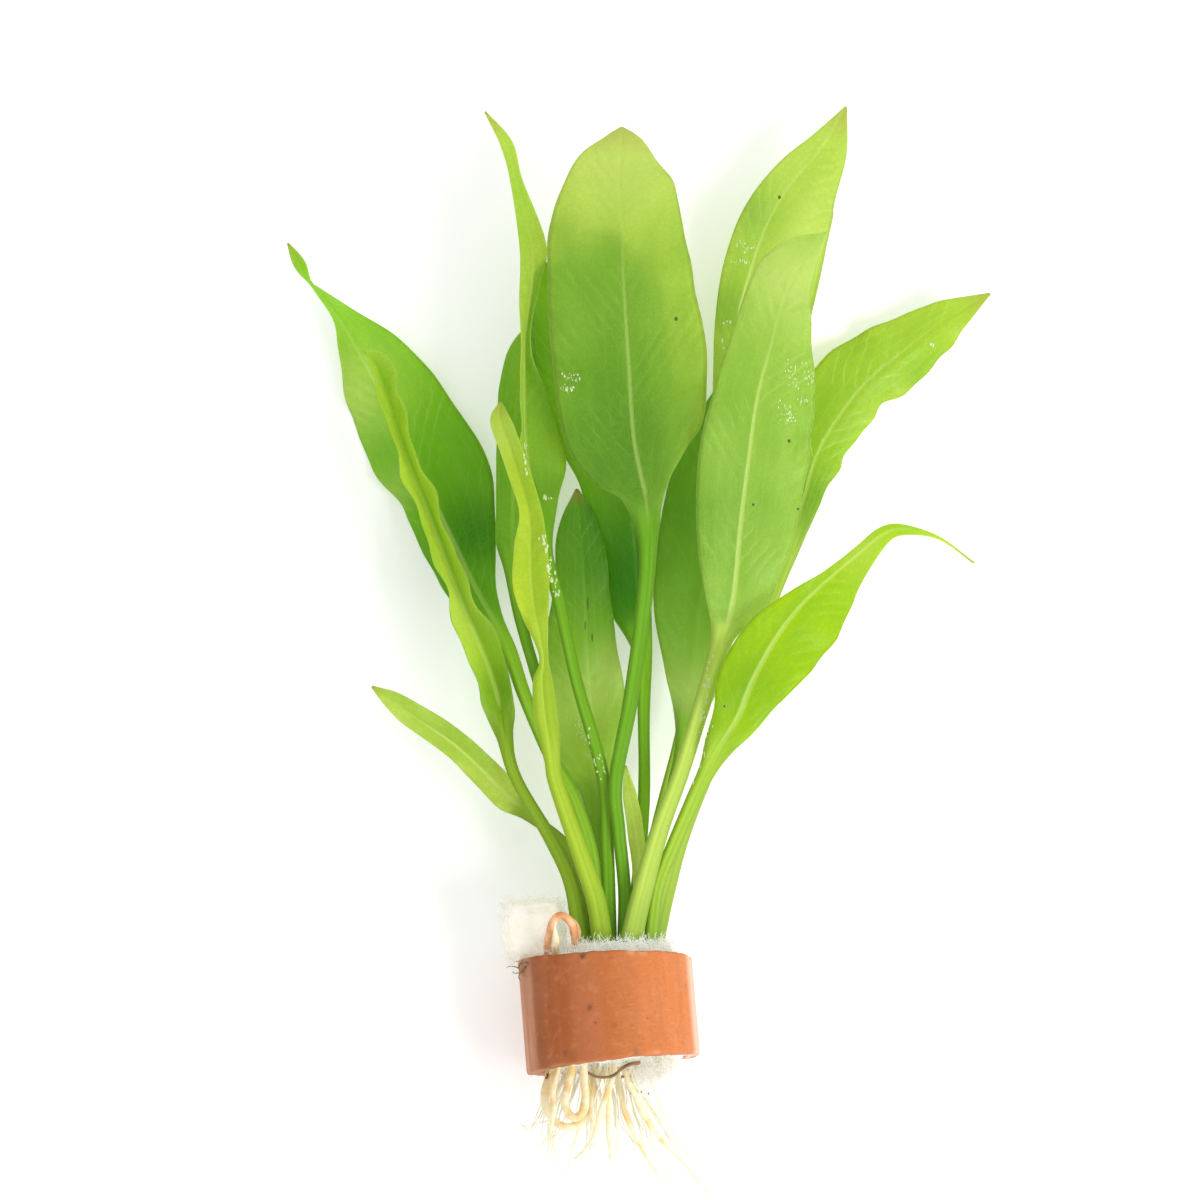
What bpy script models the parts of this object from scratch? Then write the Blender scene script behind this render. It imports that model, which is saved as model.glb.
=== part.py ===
"""Amazon sword plant in a clay ring, lying on its side.

The ring rests on one of its long flats with its axis level.  +Y runs from the
roots to the leaf tips, +X to the plant's right seen from above, +Z up.  The
origin is the middle of the flat that the ring rests on.  All dimensions below
are in millimetres and degrees.
"""
import math

import bmesh
import bpy
import numpy as np
from mathutils import Matrix, Vector

MM = 0.001
COLLECTION = "amazon_sword_plant"

# Clay ring: a short pipe, 24-sided outside so that it has a flat to rest on.
# Its two ends are not cut square: a slant is how far an end moves along the axis
# for each millimetre to the right.
RING_SIDES = 24
RING_RADIUS = 20.0
RING_BORE_RADIUS = 16.5
RING_BACK = -12.05
RING_FRONT = 12.4
RING_BACK_SLANT = 0.03
RING_FRONT_SLANT = -0.052
CUTTER_REACH = 30.0
RING_ROUNDING = 0.6
RING_TURN = 4.7
AXIS_HEIGHT = RING_RADIUS * math.cos(math.pi / RING_SIDES)

# Wool plug that fills the ring round the crown, and the loose flap of it.
WOOL_RADIUS = 16.1
WOOL_BACK = -11.2
WOOL_FRONT = 15.2
WOOL_ROUNDING = 1.2
FLAP_SIZE = (11.4, 13.2, 13.0)
FLAP_CENTRE = (-16.2, 20.4, 0.6)
FLAP_ROUNDING = 2.0

# Crown: the short stem that the leaves and roots grow from.
CROWN_SIDES = 16
CROWN_RADIUS = 9.7
CROWN_BORE_RADIUS = 10.1
CROWN_BACK = -10.8
CROWN_FRONT = 13.9
CROWN_OFFSET = (3.7, 0.0, 2.6)
CROWN_ROUNDING = 1.6

# Leaf sections: each leaf is a loft through stations from its base to its tip.
# A station is x, y, z of the midrib, then the left and right half widths, then
# how many degrees the left and right halves rise from level.
LEAVES = {
    "leaf_front_broad": (
        (3.3, 15.6, 25, 1.3, 1.3, 0, 0),
        (3.5, 27.5, 25.5, 1.4, 1.4, 0, 0),
        (2.2, 41, 28, 1.5, 1.5, 0, 0),
        (1.5, 52, 30, 1.6, 1.6, 0, 0),
        (5, 70.5, 32, 1.8, 1.7, 0, 0),
        (8, 93, 34, 1.8, 1.9, 0, 0),
        (9, 106, 35, 2.4, 2.2, 10, 10),
        (8.5, 116.5, 35.5, 5.6, 4.3, 15, 12),
        (7, 123.5, 36, 12, 9.5, 12, 10),
        (5.5, 132.5, 36, 16.2, 16, 8, 4),
        (4.5, 149, 36.5, 17.7, 18.2, 5, 2),
        (3.5, 166, 36, 17.8, 16.5, 3, 0),
        (3, 183, 35, 16.8, 14.2, 0, -4),
        (2.5, 194, 34, 12.4, 12, -4, -8),
        (3, 202, 33, 6.5, 6.5, -4, -8),
        (3, 206, 32.5, 0.3, 0.3, 0, 0),
    ),
    "leaf_right_front": (
        (5, 15.6, 29, 2, 2, 0, 0),
        (7, 24.5, 29.5, 2, 2, 0, 0),
        (11.5, 40.5, 31, 2, 2, 0, 0),
        (16.5, 54, 32, 1.9, 1.9, 0, 0),
        (21.5, 70, 33, 2, 2, 0, 0),
        (26, 84, 34, 3, 2.4, 15, 0),
        (28.5, 94, 35.5, 7, 8.7, 15, -8),
        (30, 109, 37.5, 10.2, 12.5, 10, -4),
        (32, 125, 39.5, 11.6, 13.8, 6, -8),
        (34, 139, 40, 10.4, 13.8, 2, -10),
        (37, 150.5, 39.5, 9.8, 11, 0, -12),
        (40.5, 163, 38, 9.2, 6.6, 0, -14),
        (45, 172.5, 36.5, 7.6, 3.6, 0, -14),
        (50.5, 180, 34.5, 0.3, 0.3, 0, 0),
    ),
    "leaf_right_droop": (
        (9.6, 15.6, 26.2, 1.3, 1.3, 0, 0),
        (10.6, 25, 27, 1.4, 1.4, 0, 0),
        (12.5, 32, 28, 1.6, 1.6, 0, 0),
        (19, 47, 31, 1.8, 1.8, 0, 0),
        (22.5, 54, 33.5, 2.2, 2, 0, 0),
        (25.5, 59.5, 35.5, 4, 3.2, 10, 5),
        (29.5, 66, 37, 6.2, 5.4, 10, 0),
        (32.5, 73.5, 38, 8, 8.4, 10, -5),
        (38, 83.5, 38.5, 7.2, 11.2, 10, -12),
        (44, 91.5, 37.5, 4.2, 11.5, 20, -18),
        (51, 98.5, 35, 2.2, 8.8, 30, -24),
        (57.5, 104.5, 31, 1.9, 4.6, 30, -24),
        (63.5, 110, 26, 1.9, 2.3, 10, -10),
        (68.5, 112, 22, 1.3, 1.4, 0, 0),
        (77.5, 111.5, 14, 0.4, 0.4, 0, 0),
        (86, 106.5, 9, 0.25, 0.25, 0, 0),
    ),
    "leaf_right_far": (
        (10.4, 15.6, 22, 1.7, 1.7, 0, 0),
        (13, 27, 20, 1.7, 1.7, 0, 0),
        (18, 43.5, 17.5, 1.5, 1.5, 0, 0),
        (29.5, 72, 12, 1.4, 1.4, 0, 0),
        (38, 96.5, 8.5, 1.4, 1.4, 0, 0),
        (42.5, 109.5, 7, 2.6, 2.2, 0, 0),
        (46, 122, 6, 6.5, 4.2, 0, -10),
        (50.5, 135.5, 5, 10, 6.6, 0, -20),
        (60, 149.5, 4.5, 11.5, 7.4, 2, -28),
        (70.5, 158.5, 5, 8.5, 8.6, 4, -30),
        (80, 165.5, 7.5, 5, 5.2, 5, -25),
        (90.5, 171, 12, 0.3, 0.3, 0, 0),
    ),
    "leaf_right_back": (
        (6.5, 15.6, 16.5, 1.4, 1.4, 0, 0),
        (10.5, 40.5, 14, 1.4, 1.4, 0, 0),
        (17.5, 69, 10, 1.4, 1.4, 0, 0),
        (21.5, 98, 7.5, 1.5, 1.5, 0, 0),
        (24, 117, 7, 3, 5, 0, 5),
        (27.5, 141.5, 7, 3.2, 12, 0, 8),
        (30, 162, 7.5, 5, 16.6, 10, 10),
        (33, 174.5, 8.5, 6.6, 16.8, 14, 8),
        (37.5, 187.5, 10, 7, 15.5, 16, 6),
        (43.5, 197.5, 12, 6, 12.5, 16, 4),
        (51, 206, 14.5, 4.2, 7.5, 12, 0),
        (56.5, 215.5, 17, 0.3, 0.3, 0, 0),
    ),
    "leaf_right_inner": (
        (8, 15.6, 18.8, 1.3, 1.3, 0, 0),
        (10.5, 35, 19, 1.3, 1.3, 0, 0),
        (14.5, 51, 19.2, 1.4, 1.4, 0, 0),
        (17.5, 64, 19, 2.2, 2.6, 10, 0),
        (19.5, 78.5, 18.5, 6.6, 7, 10, 0),
        (21, 93.5, 18, 10.8, 9, 6, 0),
        (23.5, 108, 17.5, 12.4, 9.2, 4, 0),
        (26.5, 126, 17, 11.6, 8.4, 4, 0),
        (30, 141.5, 16.5, 7.6, 6.4, 4, 0),
        (32.5, 157.5, 16, 0.3, 0.3, 0, 0),
    ),
    "leaf_young": (
        (6.6, 15.6, 24.8, 1.2, 1.2, 0, 0),
        (7, 30, 25, 1.4, 1.4, 0, 0),
        (6, 41, 26, 1.9, 1.9, 10, 10),
        (4.8, 48.5, 26.5, 1.7, 1.7, 20, 20),
        (3.7, 56, 26.5, 0.3, 0.3, 0, 0),
    ),
    "leaf_centre_back": (
        (4.4, 15.6, 21, 1.4, 1.4, 0, 0),
        (6.5, 30, 21.3, 1.4, 1.4, 0, 0),
        (8, 48.5, 21.5, 1.4, 1.4, 0, 0),
        (8, 67, 22, 1.4, 1.4, 0, 0),
        (8, 82.5, 22.5, 2.4, 2, 0, 0),
        (7, 95, 23.8, 7.8, 2.9, -4, 0),
        (6, 109, 26, 9.8, 5, -6, 0),
        (4, 122, 29.5, 10, 9.5, -12, 0),
        (2.5, 135, 32.3, 15.5, 12, -14, 0),
        (0, 154, 33.6, 17.5, 13.5, -17, -2),
        (-1.5, 167.5, 33.2, 15.5, 13, -17, -4),
        (-0.5, 175, 32.8, 10, 9, -12, -4),
        (1.5, 180, 32.4, 0.4, 0.4, 0, 0),
    ),
    "leaf_centre_low": (
        (-0.3, 15.6, 21.3, 1.4, 1.4, 0, 0),
        (-1, 30, 21.3, 1.4, 1.4, 0, 0),
        (-2.5, 41.5, 22, 1.6, 1.4, 0, 0),
        (-3, 51, 22.5, 4.2, 3, -10, 0),
        (-3.5, 60, 23.5, 9, 5.2, -12, 0),
        (-4, 71.5, 25, 10.4, 7.8, -10, 0),
        (-5, 83, 26.5, 10.2, 6.8, -8, 0),
        (-5.5, 96.5, 27.5, 7.5, 5.8, -5, 0),
        (-6.5, 112, 27.5, 5.2, 4.4, -5, -5),
        (-7.5, 120.5, 27, 0.3, 0.3, 0, 0),
    ),
    "leaf_tall_folded": (
        (0, 15.6, 25.2, 1.3, 1.3, 0, 0),
        (-0.5, 36.5, 25.5, 1.4, 1.4, 0, 0),
        (-1.5, 53.5, 28, 1.4, 1.4, 0, 0),
        (-7.5, 75, 31, 1.4, 1.4, 0, 0),
        (-11.5, 93, 32.5, 1.4, 1.4, 0, 0),
        (-14.5, 105, 32.5, 1.6, 1.6, 40, 10),
        (-16.5, 115, 32, 2.4, 4.8, 60, 5),
        (-18.5, 124, 31.5, 3.2, 8.8, 75, 0),
        (-19.5, 135, 30.5, 3.4, 7.6, 80, 0),
        (-19.5, 154, 30, 3.2, 2.4, 80, 60),
        (-18, 168.5, 30, 3, 2.6, 20, 40),
        (-18, 178, 30, 3, 3.4, 10, 10),
        (-21.5, 193.5, 31, 1.7, 1.3, 10, 10),
        (-24, 202, 32, 1.5, 1.5, 0, 0),
        (-29, 209.5, 33, 0.25, 0.25, 0, 0),
    ),
    "leaf_yellow_twist": (
        (-1.5, 15.6, 29, 1.7, 1.7, 0, 0),
        (-3, 24.5, 30.2, 1.7, 1.7, 0, 0),
        (-6, 33.5, 32, 1.8, 1.8, 0, 0),
        (-12, 50.5, 35, 1.6, 1.6, 0, 0),
        (-14, 60.5, 36.3, 2, 2, 15, 15),
        (-15.5, 69.5, 37.2, 2.3, 2.3, 20, 20),
        (-15, 80.5, 38, 1.1, 1.2, 20, 20),
        (-17.5, 93.5, 38.5, 4.3, 4, 15, 15),
        (-18, 104, 38.5, 3.9, 4.1, 15, 15),
        (-18.5, 113.5, 38.5, 2.6, 3, 30, 10),
        (-22.5, 127.5, 37, 2.7, 2.7, 20, 20),
        (-25, 135, 36, 2.5, 2.3, 10, 10),
        (-25, 139.5, 35, 0.3, 0.3, 0, 0),
    ),
    "leaf_left_broad": (
        (-3.2, 15.6, 25, 1.3, 1.3, 0, 0),
        (-3.2, 28.5, 27, 1.4, 1.4, 0, 0),
        (-4.5, 37.5, 28.3, 1.6, 1.6, 0, 0),
        (-8.5, 49, 28.8, 1.6, 1.6, 0, 0),
        (-14, 59, 28, 1.5, 1.5, 0, 0),
        (-19.5, 72.5, 24.5, 1.6, 1.6, 0, 0),
        (-23, 83, 22, 2.2, 1.8, 0, 0),
        (-27, 91.5, 19, 5.2, 2.4, -5, 5),
        (-31.5, 100, 16, 6.6, 5.6, -8, 8),
        (-36.5, 111, 12, 7.8, 11, -14, 8),
        (-42, 123, 8, 7.6, 15.6, -20, 8),
        (-48.5, 135.5, 5, 9.8, 15.6, -24, 6),
        (-54, 148, 4.2, 9.4, 13, -22, 5),
        (-59.5, 158, 5.5, 5.6, 9.4, -15, 5),
        (-64, 165.5, 8, 1.6, 4.2, -5, 5),
        (-69, 171.5, 12, 0.8, 1, 0, 0),
        (-71, 173.5, 13.5, 0.5, 0.5, 0, 0),
        (-73.5, 177.5, 15, 1.6, 1.8, 30, 30),
        (-76, 182, 17, 0.25, 0.25, 0, 0),
    ),
    "leaf_left_folded": (
        (-6.3, 15.6, 25, 1.3, 1.3, 0, 0),
        (-8.5, 28.5, 25.5, 1.4, 1.4, 0, 0),
        (-13, 38.5, 25, 1.4, 1.4, 0, 0),
        (-21.5, 53.5, 24.5, 1.4, 1.4, 0, 0),
        (-24, 63.5, 24, 2.4, 2, 40, 30),
        (-25.5, 71.5, 24, 6, 5, 58, 50),
        (-28.5, 81, 24, 7.5, 7, 62, 60),
        (-34, 94.5, 22.5, 8, 8, 72, 74),
        (-42, 116, 19.5, 8.5, 8.5, 80, 82),
        (-48, 132, 17, 7.5, 7.5, 80, 80),
        (-52, 144.5, 15.5, 5.5, 5.5, 75, 60),
        (-55, 152.5, 15.5, 2.6, 4.2, 60, 30),
        (-58, 156, 16, 0.3, 0.3, 0, 0),
    ),
    "leaf_left_small": (
        (-4.9, 15.6, 21.5, 1.2, 1.2, 0, 0),
        (-6.5, 31.5, 20, 1.2, 1.2, 0, 0),
        (-10.5, 39, 19.5, 1.2, 1.2, 0, 0),
        (-18.5, 45.5, 18.5, 1.5, 1.5, 0, 0),
        (-23.5, 50, 18.5, 3.7, 3.4, 10, 10),
        (-30, 56.5, 20, 3.5, 3.6, 20, 20),
        (-36.5, 62, 22.5, 3.5, 3.6, 20, 20),
        (-43.5, 66.5, 25, 3.1, 3.3, 20, 20),
        (-49.5, 70.5, 27, 2.2, 2.6, 15, 15),
        (-54.5, 74, 28.5, 0.3, 0.3, 0, 0),
    ),
    "leaf_left_back": (
        (-3.5, 15.6, 18, 1.3, 1.3, 0, 0),
        (-6, 33, 17.2, 1.3, 1.3, 0, 0),
        (-10.5, 54, 17, 1.3, 1.3, 0, 0),
        (-16, 75, 17.5, 1.3, 1.3, 0, 0),
        (-20.5, 91, 18.5, 1.4, 1.4, 0, 0),
        (-22.5, 103, 19, 2, 2, 0, 0),
        (-22.5, 110, 19, 4, 3.5, 0, 0),
        (-22.5, 122, 19, 3.9, 6, 0, 0),
        (-22.5, 136.5, 19, 3.8, 7, 0, 0),
        (-21, 149.5, 19, 4.4, 6, 0, 0),
        (-19, 157, 18.5, 3.6, 3.6, 0, 0),
        (-15.5, 164, 18, 0.3, 0.3, 0, 0),
    ),
}
STEPS_PER_SPAN = 2
PETIOLE_HALF_WIDTH = 2.0
BLADE_HALF_WIDTH = 6.0
PETIOLE_RIB = 1.1
PETIOLE_SIDE = 0.95
BLADE_RIB = 0.8
TIP_RIB = 0.35
BLADE_SIDE = 0.28
LEAST_HALF_WIDTH = 0.2
RIB_TO_WIDTH = 0.8
SIDE_TO_WIDTH = 0.68

# Thick roots: radius, then the points of the centre line.
ROOTS = {
    "root_outer_loop": (1.0, (
        (-13.2, -13.3, 22), (-14.4, -17.8, 23), (-14.6, -21.4, 24), (-12.7, -24.8, 25),
        (-9.8, -26.5, 26), (-7.1, -25.8, 26), (-4.9, -23.1, 25.8), (-4.6, -19.6, 25.2),
        (-5.3, -16.2, 24.2), (-5.8, -13.3, 23.2))),
    "root_inner_loop": (0.95, (
        (-8.4, -13.3, 27), (-9.3, -16.8, 28), (-10, -20.4, 29), (-9.3, -23.4, 29.4),
        (-7.5, -24.6, 29.4), (-5.8, -22.8, 29.2), (-5.4, -19.4, 28.8),
        (-5.7, -16, 28.2), (-5.9, -13.3, 27.4))),
    "root_left_edge": (0.7, (
        (-11.6, -13.3, 27), (-12.2, -15.8, 28), (-12.8, -19.2, 28.8), (-12.5, -22.7, 29),
        (-13.2, -26.7, 27.4), (-14, -30.1, 21))),
    "root_centre_left": (0.8, (
        (-2.8, -12.9, 23), (-3.5, -16, 22.8), (-4.2, -20.1, 22.2),
        (-3.9, -24.1, 21.4), (-3, -28, 19))),
    "root_centre": (0.75, (
        (-0.7, -12.9, 23), (-0.5, -16.3, 24), (-0.1, -20.7, 24.5), (-0.2, -25.7, 22),
        (0.2, -33, 16))),
    "root_centre_cross": (0.7, (
        (1.2, -12.7, 27), (0.9, -15.1, 28.4), (-0.5, -19.2, 30), (-2, -23.3, 30),
        (-3.4, -28.2, 26.5), (-5.6, -31.1, 21), (-8, -33.2, 15))),
    "root_right_long": (0.7, (
        (3.6, -12.6, 27), (4, -15.6, 28.2), (5.8, -19.2, 27), (9.9, -26.7, 21),
        (17.1, -34, 12), (23.7, -41.1, 4))),
    "root_right_middle": (0.6, (
        (1.8, -12.6, 21), (2.2, -16.6, 21.5), (3.8, -23.4, 19), (7.3, -30.4, 13),
        (12, -37.5, 6))),
    "root_orange_loop": (0.9, (
        (-14, 13.9, 29.8), (-13.9, 15.4, 32), (-13.4, 17.5, 33.5), (-12.7, 19.3, 34.5),
        (-11.6, 20.5, 35), (-10.2, 20.5, 35), (-8.9, 19.4, 34.4), (-8.2, 17.8, 33.6),
        (-8, 16.6, 32.8))),
    "root_orange_short": (0.8, (
        (-7.2, 16.3, 30.2), (-7, 17.6, 30.8), (-7.4, 19.2, 31.2),
        (-8.2, 20.2, 31.3))),
    "root_cream": (0.8, (
        (-12.1, 13.9, 33.4), (-12, 15.5, 35), (-12.3, 17.6, 36.5),
        (-12, 19.2, 37.2))),
}
MERGE_DISTANCE = 0.01
SHARP_ANGLE = 40.0

# name: base colour, roughness, metallic
MATERIALS = {
    "clay": ((0.47, 0.17, 0.075), 0.75, 0.0),
    "wool": ((0.78, 0.80, 0.72), 0.95, 0.0),
    "crown": ((0.42, 0.46, 0.16), 0.7, 0.0),
    "leaf": ((0.13, 0.36, 0.02), 0.42, 0.0),
    "leaf_lime": ((0.30, 0.60, 0.03), 0.42, 0.0),
    "root": ((0.82, 0.68, 0.42), 0.6, 0.0),
    "root_orange": ((0.82, 0.40, 0.18), 0.6, 0.0),
}
LIME_LEAVES = ("leaf_yellow_twist", "leaf_right_droop", "leaf_left_small")
ORANGE_ROOTS = ("root_orange_loop", "root_orange_short")


def clear_scene():
    """Start from an empty scene."""
    for item in list(bpy.data.objects):
        bpy.data.objects.remove(item, do_unlink=True)


def new_collection(name):
    """A collection linked to the scene."""
    made = bpy.data.collections.new(name)
    bpy.context.scene.collection.children.link(made)
    return made


def move_to(piece, collection):
    """Put a piece in one collection only."""
    for owner in list(piece.users_collection):
        owner.objects.unlink(piece)
    collection.objects.link(piece)


def paint(piece, key):
    """Give a piece its own material."""
    colour, roughness, metallic = MATERIALS[key]
    made = bpy.data.materials.new("mat_" + piece.name)
    made.use_nodes = True
    shader = made.node_tree.nodes["Principled BSDF"]
    shader.inputs["Base Color"].default_value = (*colour, 1.0)
    shader.inputs["Roughness"].default_value = roughness
    shader.inputs["Metallic"].default_value = metallic
    piece.data.materials.clear()
    piece.data.materials.append(made)


def select_only(piece):
    """Make a piece the only selected and active one."""
    bpy.ops.object.select_all(action="DESELECT")
    piece.select_set(True)
    bpy.context.view_layer.objects.active = piece


def smooth(piece):
    """Shade smooth, keeping true edges sharp."""
    select_only(piece)
    bpy.ops.object.shade_smooth()
    piece.data.set_sharp_from_angle(angle=math.radians(SHARP_ANGLE))


def ring_frame():
    """Placement of the ring's own frame: local Y is its axis, from roots to leaves."""
    turn = Matrix.Rotation(math.radians(RING_TURN), 4, "Z")
    return Matrix.Translation(Vector((0.0, 0.0, AXIS_HEIGHT * MM))) @ turn


def rod(name, sides, radius, back, front, offset=(0.0, 0.0, 0.0)):
    """A prism along the ring's axis with one of its flats downwards."""
    bpy.ops.mesh.primitive_cylinder_add(
        vertices=sides, radius=radius * MM, depth=(front - back) * MM)
    piece = bpy.context.object
    piece.name = name
    piece.data.name = name
    flat_down = Matrix.Rotation(math.pi / sides, 4, "Z")
    lay_down = Matrix.Rotation(-math.pi / 2, 4, "X")
    middle = (Vector(offset) + Vector((0.0, (front + back) / 2, 0.0))) * MM
    piece.data.transform(ring_frame() @ Matrix.Translation(middle) @ lay_down @ flat_down)
    return piece


def slant_ends(piece):
    """Tilt both ends of the clay ring from square."""
    to_own = ring_frame().inverted()
    for corner in piece.data.vertices:
        spot = to_own @ corner.co
        spot.y += spot.x * (RING_FRONT_SLANT if spot.y > 0.0 else RING_BACK_SLANT)
        corner.co = ring_frame() @ spot


def add_rounding(piece, width, segments, angle=50.0):
    """Round the sharp edges of a piece."""
    mod = piece.modifiers.new("rounding", "BEVEL")
    mod.width = width * MM
    mod.segments = segments
    mod.limit_method = "ANGLE"
    mod.angle_limit = math.radians(angle)


def add_boolean(piece, other, operation, cutters):
    """Combine a piece with a hidden helper solid."""
    mod = piece.modifiers.new(operation.lower(), "BOOLEAN")
    mod.operation = operation
    mod.solver = "EXACT"
    mod.object = other
    move_to(other, cutters)
    other.hide_render = True
    other.display_type = "WIRE"


def make_ring(body, cutters):
    """The clay ring."""
    piece = rod("clay_ring", RING_SIDES, RING_RADIUS, RING_BACK, RING_FRONT)
    slant_ends(piece)
    bore = rod("cut_ring_bore", RING_SIDES, RING_BORE_RADIUS, -CUTTER_REACH, CUTTER_REACH)
    add_boolean(piece, bore, "DIFFERENCE", cutters)
    add_rounding(piece, RING_ROUNDING, 2)
    move_to(piece, body)
    paint(piece, "clay")
    smooth(piece)


def make_wool(body, cutters):
    """The wool plug with its loose flap, bored for the crown."""
    piece = rod("wool_plug", RING_SIDES, WOOL_RADIUS, WOOL_BACK, WOOL_FRONT)
    add_rounding(piece, WOOL_ROUNDING, 2)
    bpy.ops.mesh.primitive_cube_add(size=1.0)
    flap = bpy.context.object
    flap.name = "add_wool_flap"
    size = Matrix.Diagonal(Vector(FLAP_SIZE) * MM).to_4x4()
    place = Matrix.Translation(Vector(FLAP_CENTRE) * MM)
    flap.data.transform(ring_frame() @ place @ size)
    add_rounding(flap, FLAP_ROUNDING, 2)
    add_boolean(piece, flap, "UNION", cutters)
    bore = rod("cut_wool_bore", CROWN_SIDES, CROWN_BORE_RADIUS,
               -CUTTER_REACH, CUTTER_REACH, CROWN_OFFSET)
    add_boolean(piece, bore, "DIFFERENCE", cutters)
    move_to(piece, body)
    paint(piece, "wool")
    smooth(piece)


def make_crown(body):
    """The crown inside the wool."""
    piece = rod("crown", CROWN_SIDES, CROWN_RADIUS, CROWN_BACK, CROWN_FRONT, CROWN_OFFSET)
    add_rounding(piece, CROWN_ROUNDING, 2)
    move_to(piece, body)
    paint(piece, "crown")
    smooth(piece)


def through(rows, steps):
    """Smooth stations that pass through every given row."""
    rows = np.array(rows, float)
    before = 2 * rows[0] - rows[1]
    after = 2 * rows[-1] - rows[-2]
    padded = np.vstack([before, rows, after])
    made = []
    for i in range(1, len(rows)):
        a, b, c, d = padded[i - 1], padded[i], padded[i + 1], padded[i + 2]
        for k in range(steps):
            t = k / steps
            made.append(0.5 * (2 * b + (c - a) * t + (2 * a - 5 * b + 4 * c - d) * t * t
                               + (3 * b - a - 3 * c + d) * t ** 3))
    made.append(rows[-1])
    return np.array(made)


def unit(v):
    """Vectors scaled to length one."""
    return v / np.linalg.norm(v, axis=-1, keepdims=True)


def leaf_section(row, side, up, fraction):
    """The eight corners of one leaf section: edge, upper side, edge, lower side."""
    centre = row[:3]
    left_half = max(row[3], LEAST_HALF_WIDTH)
    right_half = max(row[4], LEAST_HALF_WIDTH)
    left_rise, right_rise = math.radians(row[5]), math.radians(row[6])
    half = (left_half + right_half) / 2
    widening = (half - PETIOLE_HALF_WIDTH) / (BLADE_HALF_WIDTH - PETIOLE_HALF_WIDTH)
    blade = min(max(widening, 0), 1)
    blade_rib = TIP_RIB + (BLADE_RIB - TIP_RIB) * (1 - fraction)
    rib = min(PETIOLE_RIB + (blade_rib - PETIOLE_RIB) * blade, half * RIB_TO_WIDTH)
    flank = min(PETIOLE_SIDE + (BLADE_SIDE - PETIOLE_SIDE) * blade, half * SIDE_TO_WIDTH)
    left = up * math.sin(left_rise) - side * math.cos(left_rise)
    right = up * math.sin(right_rise) + side * math.cos(right_rise)
    left_up = up * math.cos(left_rise) + side * math.sin(left_rise)
    right_up = up * math.cos(right_rise) - side * math.sin(right_rise)
    middle_up = unit(left_up + right_up)
    return (
        centre + left * left_half,
        centre + left * left_half / 2 + left_up * flank,
        centre + middle_up * rib,
        centre + right * right_half / 2 + right_up * flank,
        centre + right * right_half,
        centre + right * right_half / 2 - right_up * flank,
        centre - middle_up * rib,
        centre + left * left_half / 2 - left_up * flank,
    )


def loft(name, sections):
    """A closed solid skinned over sections with the same number of corners."""
    bm = bmesh.new()
    loops = [[bm.verts.new(Vector(corner) * MM) for corner in section] for section in sections]
    count = len(loops[0])
    for near, far in zip(loops, loops[1:]):
        for i in range(count):
            j = (i + 1) % count
            bm.faces.new((near[i], near[j], far[j], far[i]))
    bm.faces.new(list(reversed(loops[0])))
    bm.faces.new(loops[-1])
    bmesh.ops.triangulate(bm, faces=bm.faces)
    bmesh.ops.recalc_face_normals(bm, faces=bm.faces)
    mesh = bpy.data.meshes.new(name)
    bm.to_mesh(mesh)
    bm.free()
    return bpy.data.objects.new(name, mesh)


def make_leaf(name, rows, body):
    """One leaf with its petiole."""
    stations = through(rows, STEPS_PER_SPAN)
    along = unit(np.gradient(stations[:, :3], axis=0))
    side = unit(np.cross(along, (0.0, 0.0, 1.0)))
    up = np.cross(side, along)
    sections = []
    for i, row in enumerate(stations):
        fraction = i / (len(stations) - 1)
        sections.append(leaf_section(row, side[i], up[i], fraction))
    piece = loft(name, sections)
    body.objects.link(piece)
    paint(piece, "leaf_lime" if name in LIME_LEAVES else "leaf")
    smooth(piece)


def make_root(name, radius, points, body):
    """One thick root, a tube along its centre line."""
    curve = bpy.data.curves.new(name, "CURVE")
    curve.dimensions = "3D"
    curve.bevel_depth = radius * MM
    curve.bevel_resolution = 2
    curve.use_fill_caps = True
    spline = curve.splines.new("POLY")
    spline.points.add(len(points) - 1)
    for target, point in zip(spline.points, points):
        target.co = (*(Vector(point) * MM), 1.0)
    wire = bpy.data.objects.new(name + "_line", curve)
    body.objects.link(wire)
    bpy.context.view_layer.update()
    shape = wire.evaluated_get(bpy.context.evaluated_depsgraph_get())
    mesh = bpy.data.meshes.new_from_object(shape)
    bpy.data.objects.remove(wire, do_unlink=True)
    bm = bmesh.new()
    bm.from_mesh(mesh)
    bmesh.ops.remove_doubles(bm, verts=bm.verts, dist=MERGE_DISTANCE * MM)
    bmesh.ops.recalc_face_normals(bm, faces=bm.faces)
    bm.to_mesh(mesh)
    bm.free()
    mesh.name = name
    piece = bpy.data.objects.new(name, mesh)
    body.objects.link(piece)
    paint(piece, "root_orange" if name in ORANGE_ROOTS else "root")
    smooth(piece)


clear_scene()
body_collection = new_collection(COLLECTION)
cutter_collection = new_collection("cutters")
make_ring(body_collection, cutter_collection)
make_wool(body_collection, cutter_collection)
make_crown(body_collection)
for leaf_name, leaf_rows in LEAVES.items():
    make_leaf(leaf_name, leaf_rows, body_collection)
for root_name, (root_radius, root_points) in ROOTS.items():
    make_root(root_name, root_radius, root_points, body_collection)
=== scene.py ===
"""Looks of the amazon sword plant: fine leaves, clay ring, wool, roots, light and camera.

Lengths are in millimetres and angles in degrees unless a name says otherwise.
The plant lies on its side: +Y from the roots to the leaf tips, +Z up.
"""
import math

import bmesh
import bpy
import numpy as np
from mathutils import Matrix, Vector, noise
from mathutils.bvhtree import BVHTree


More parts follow.
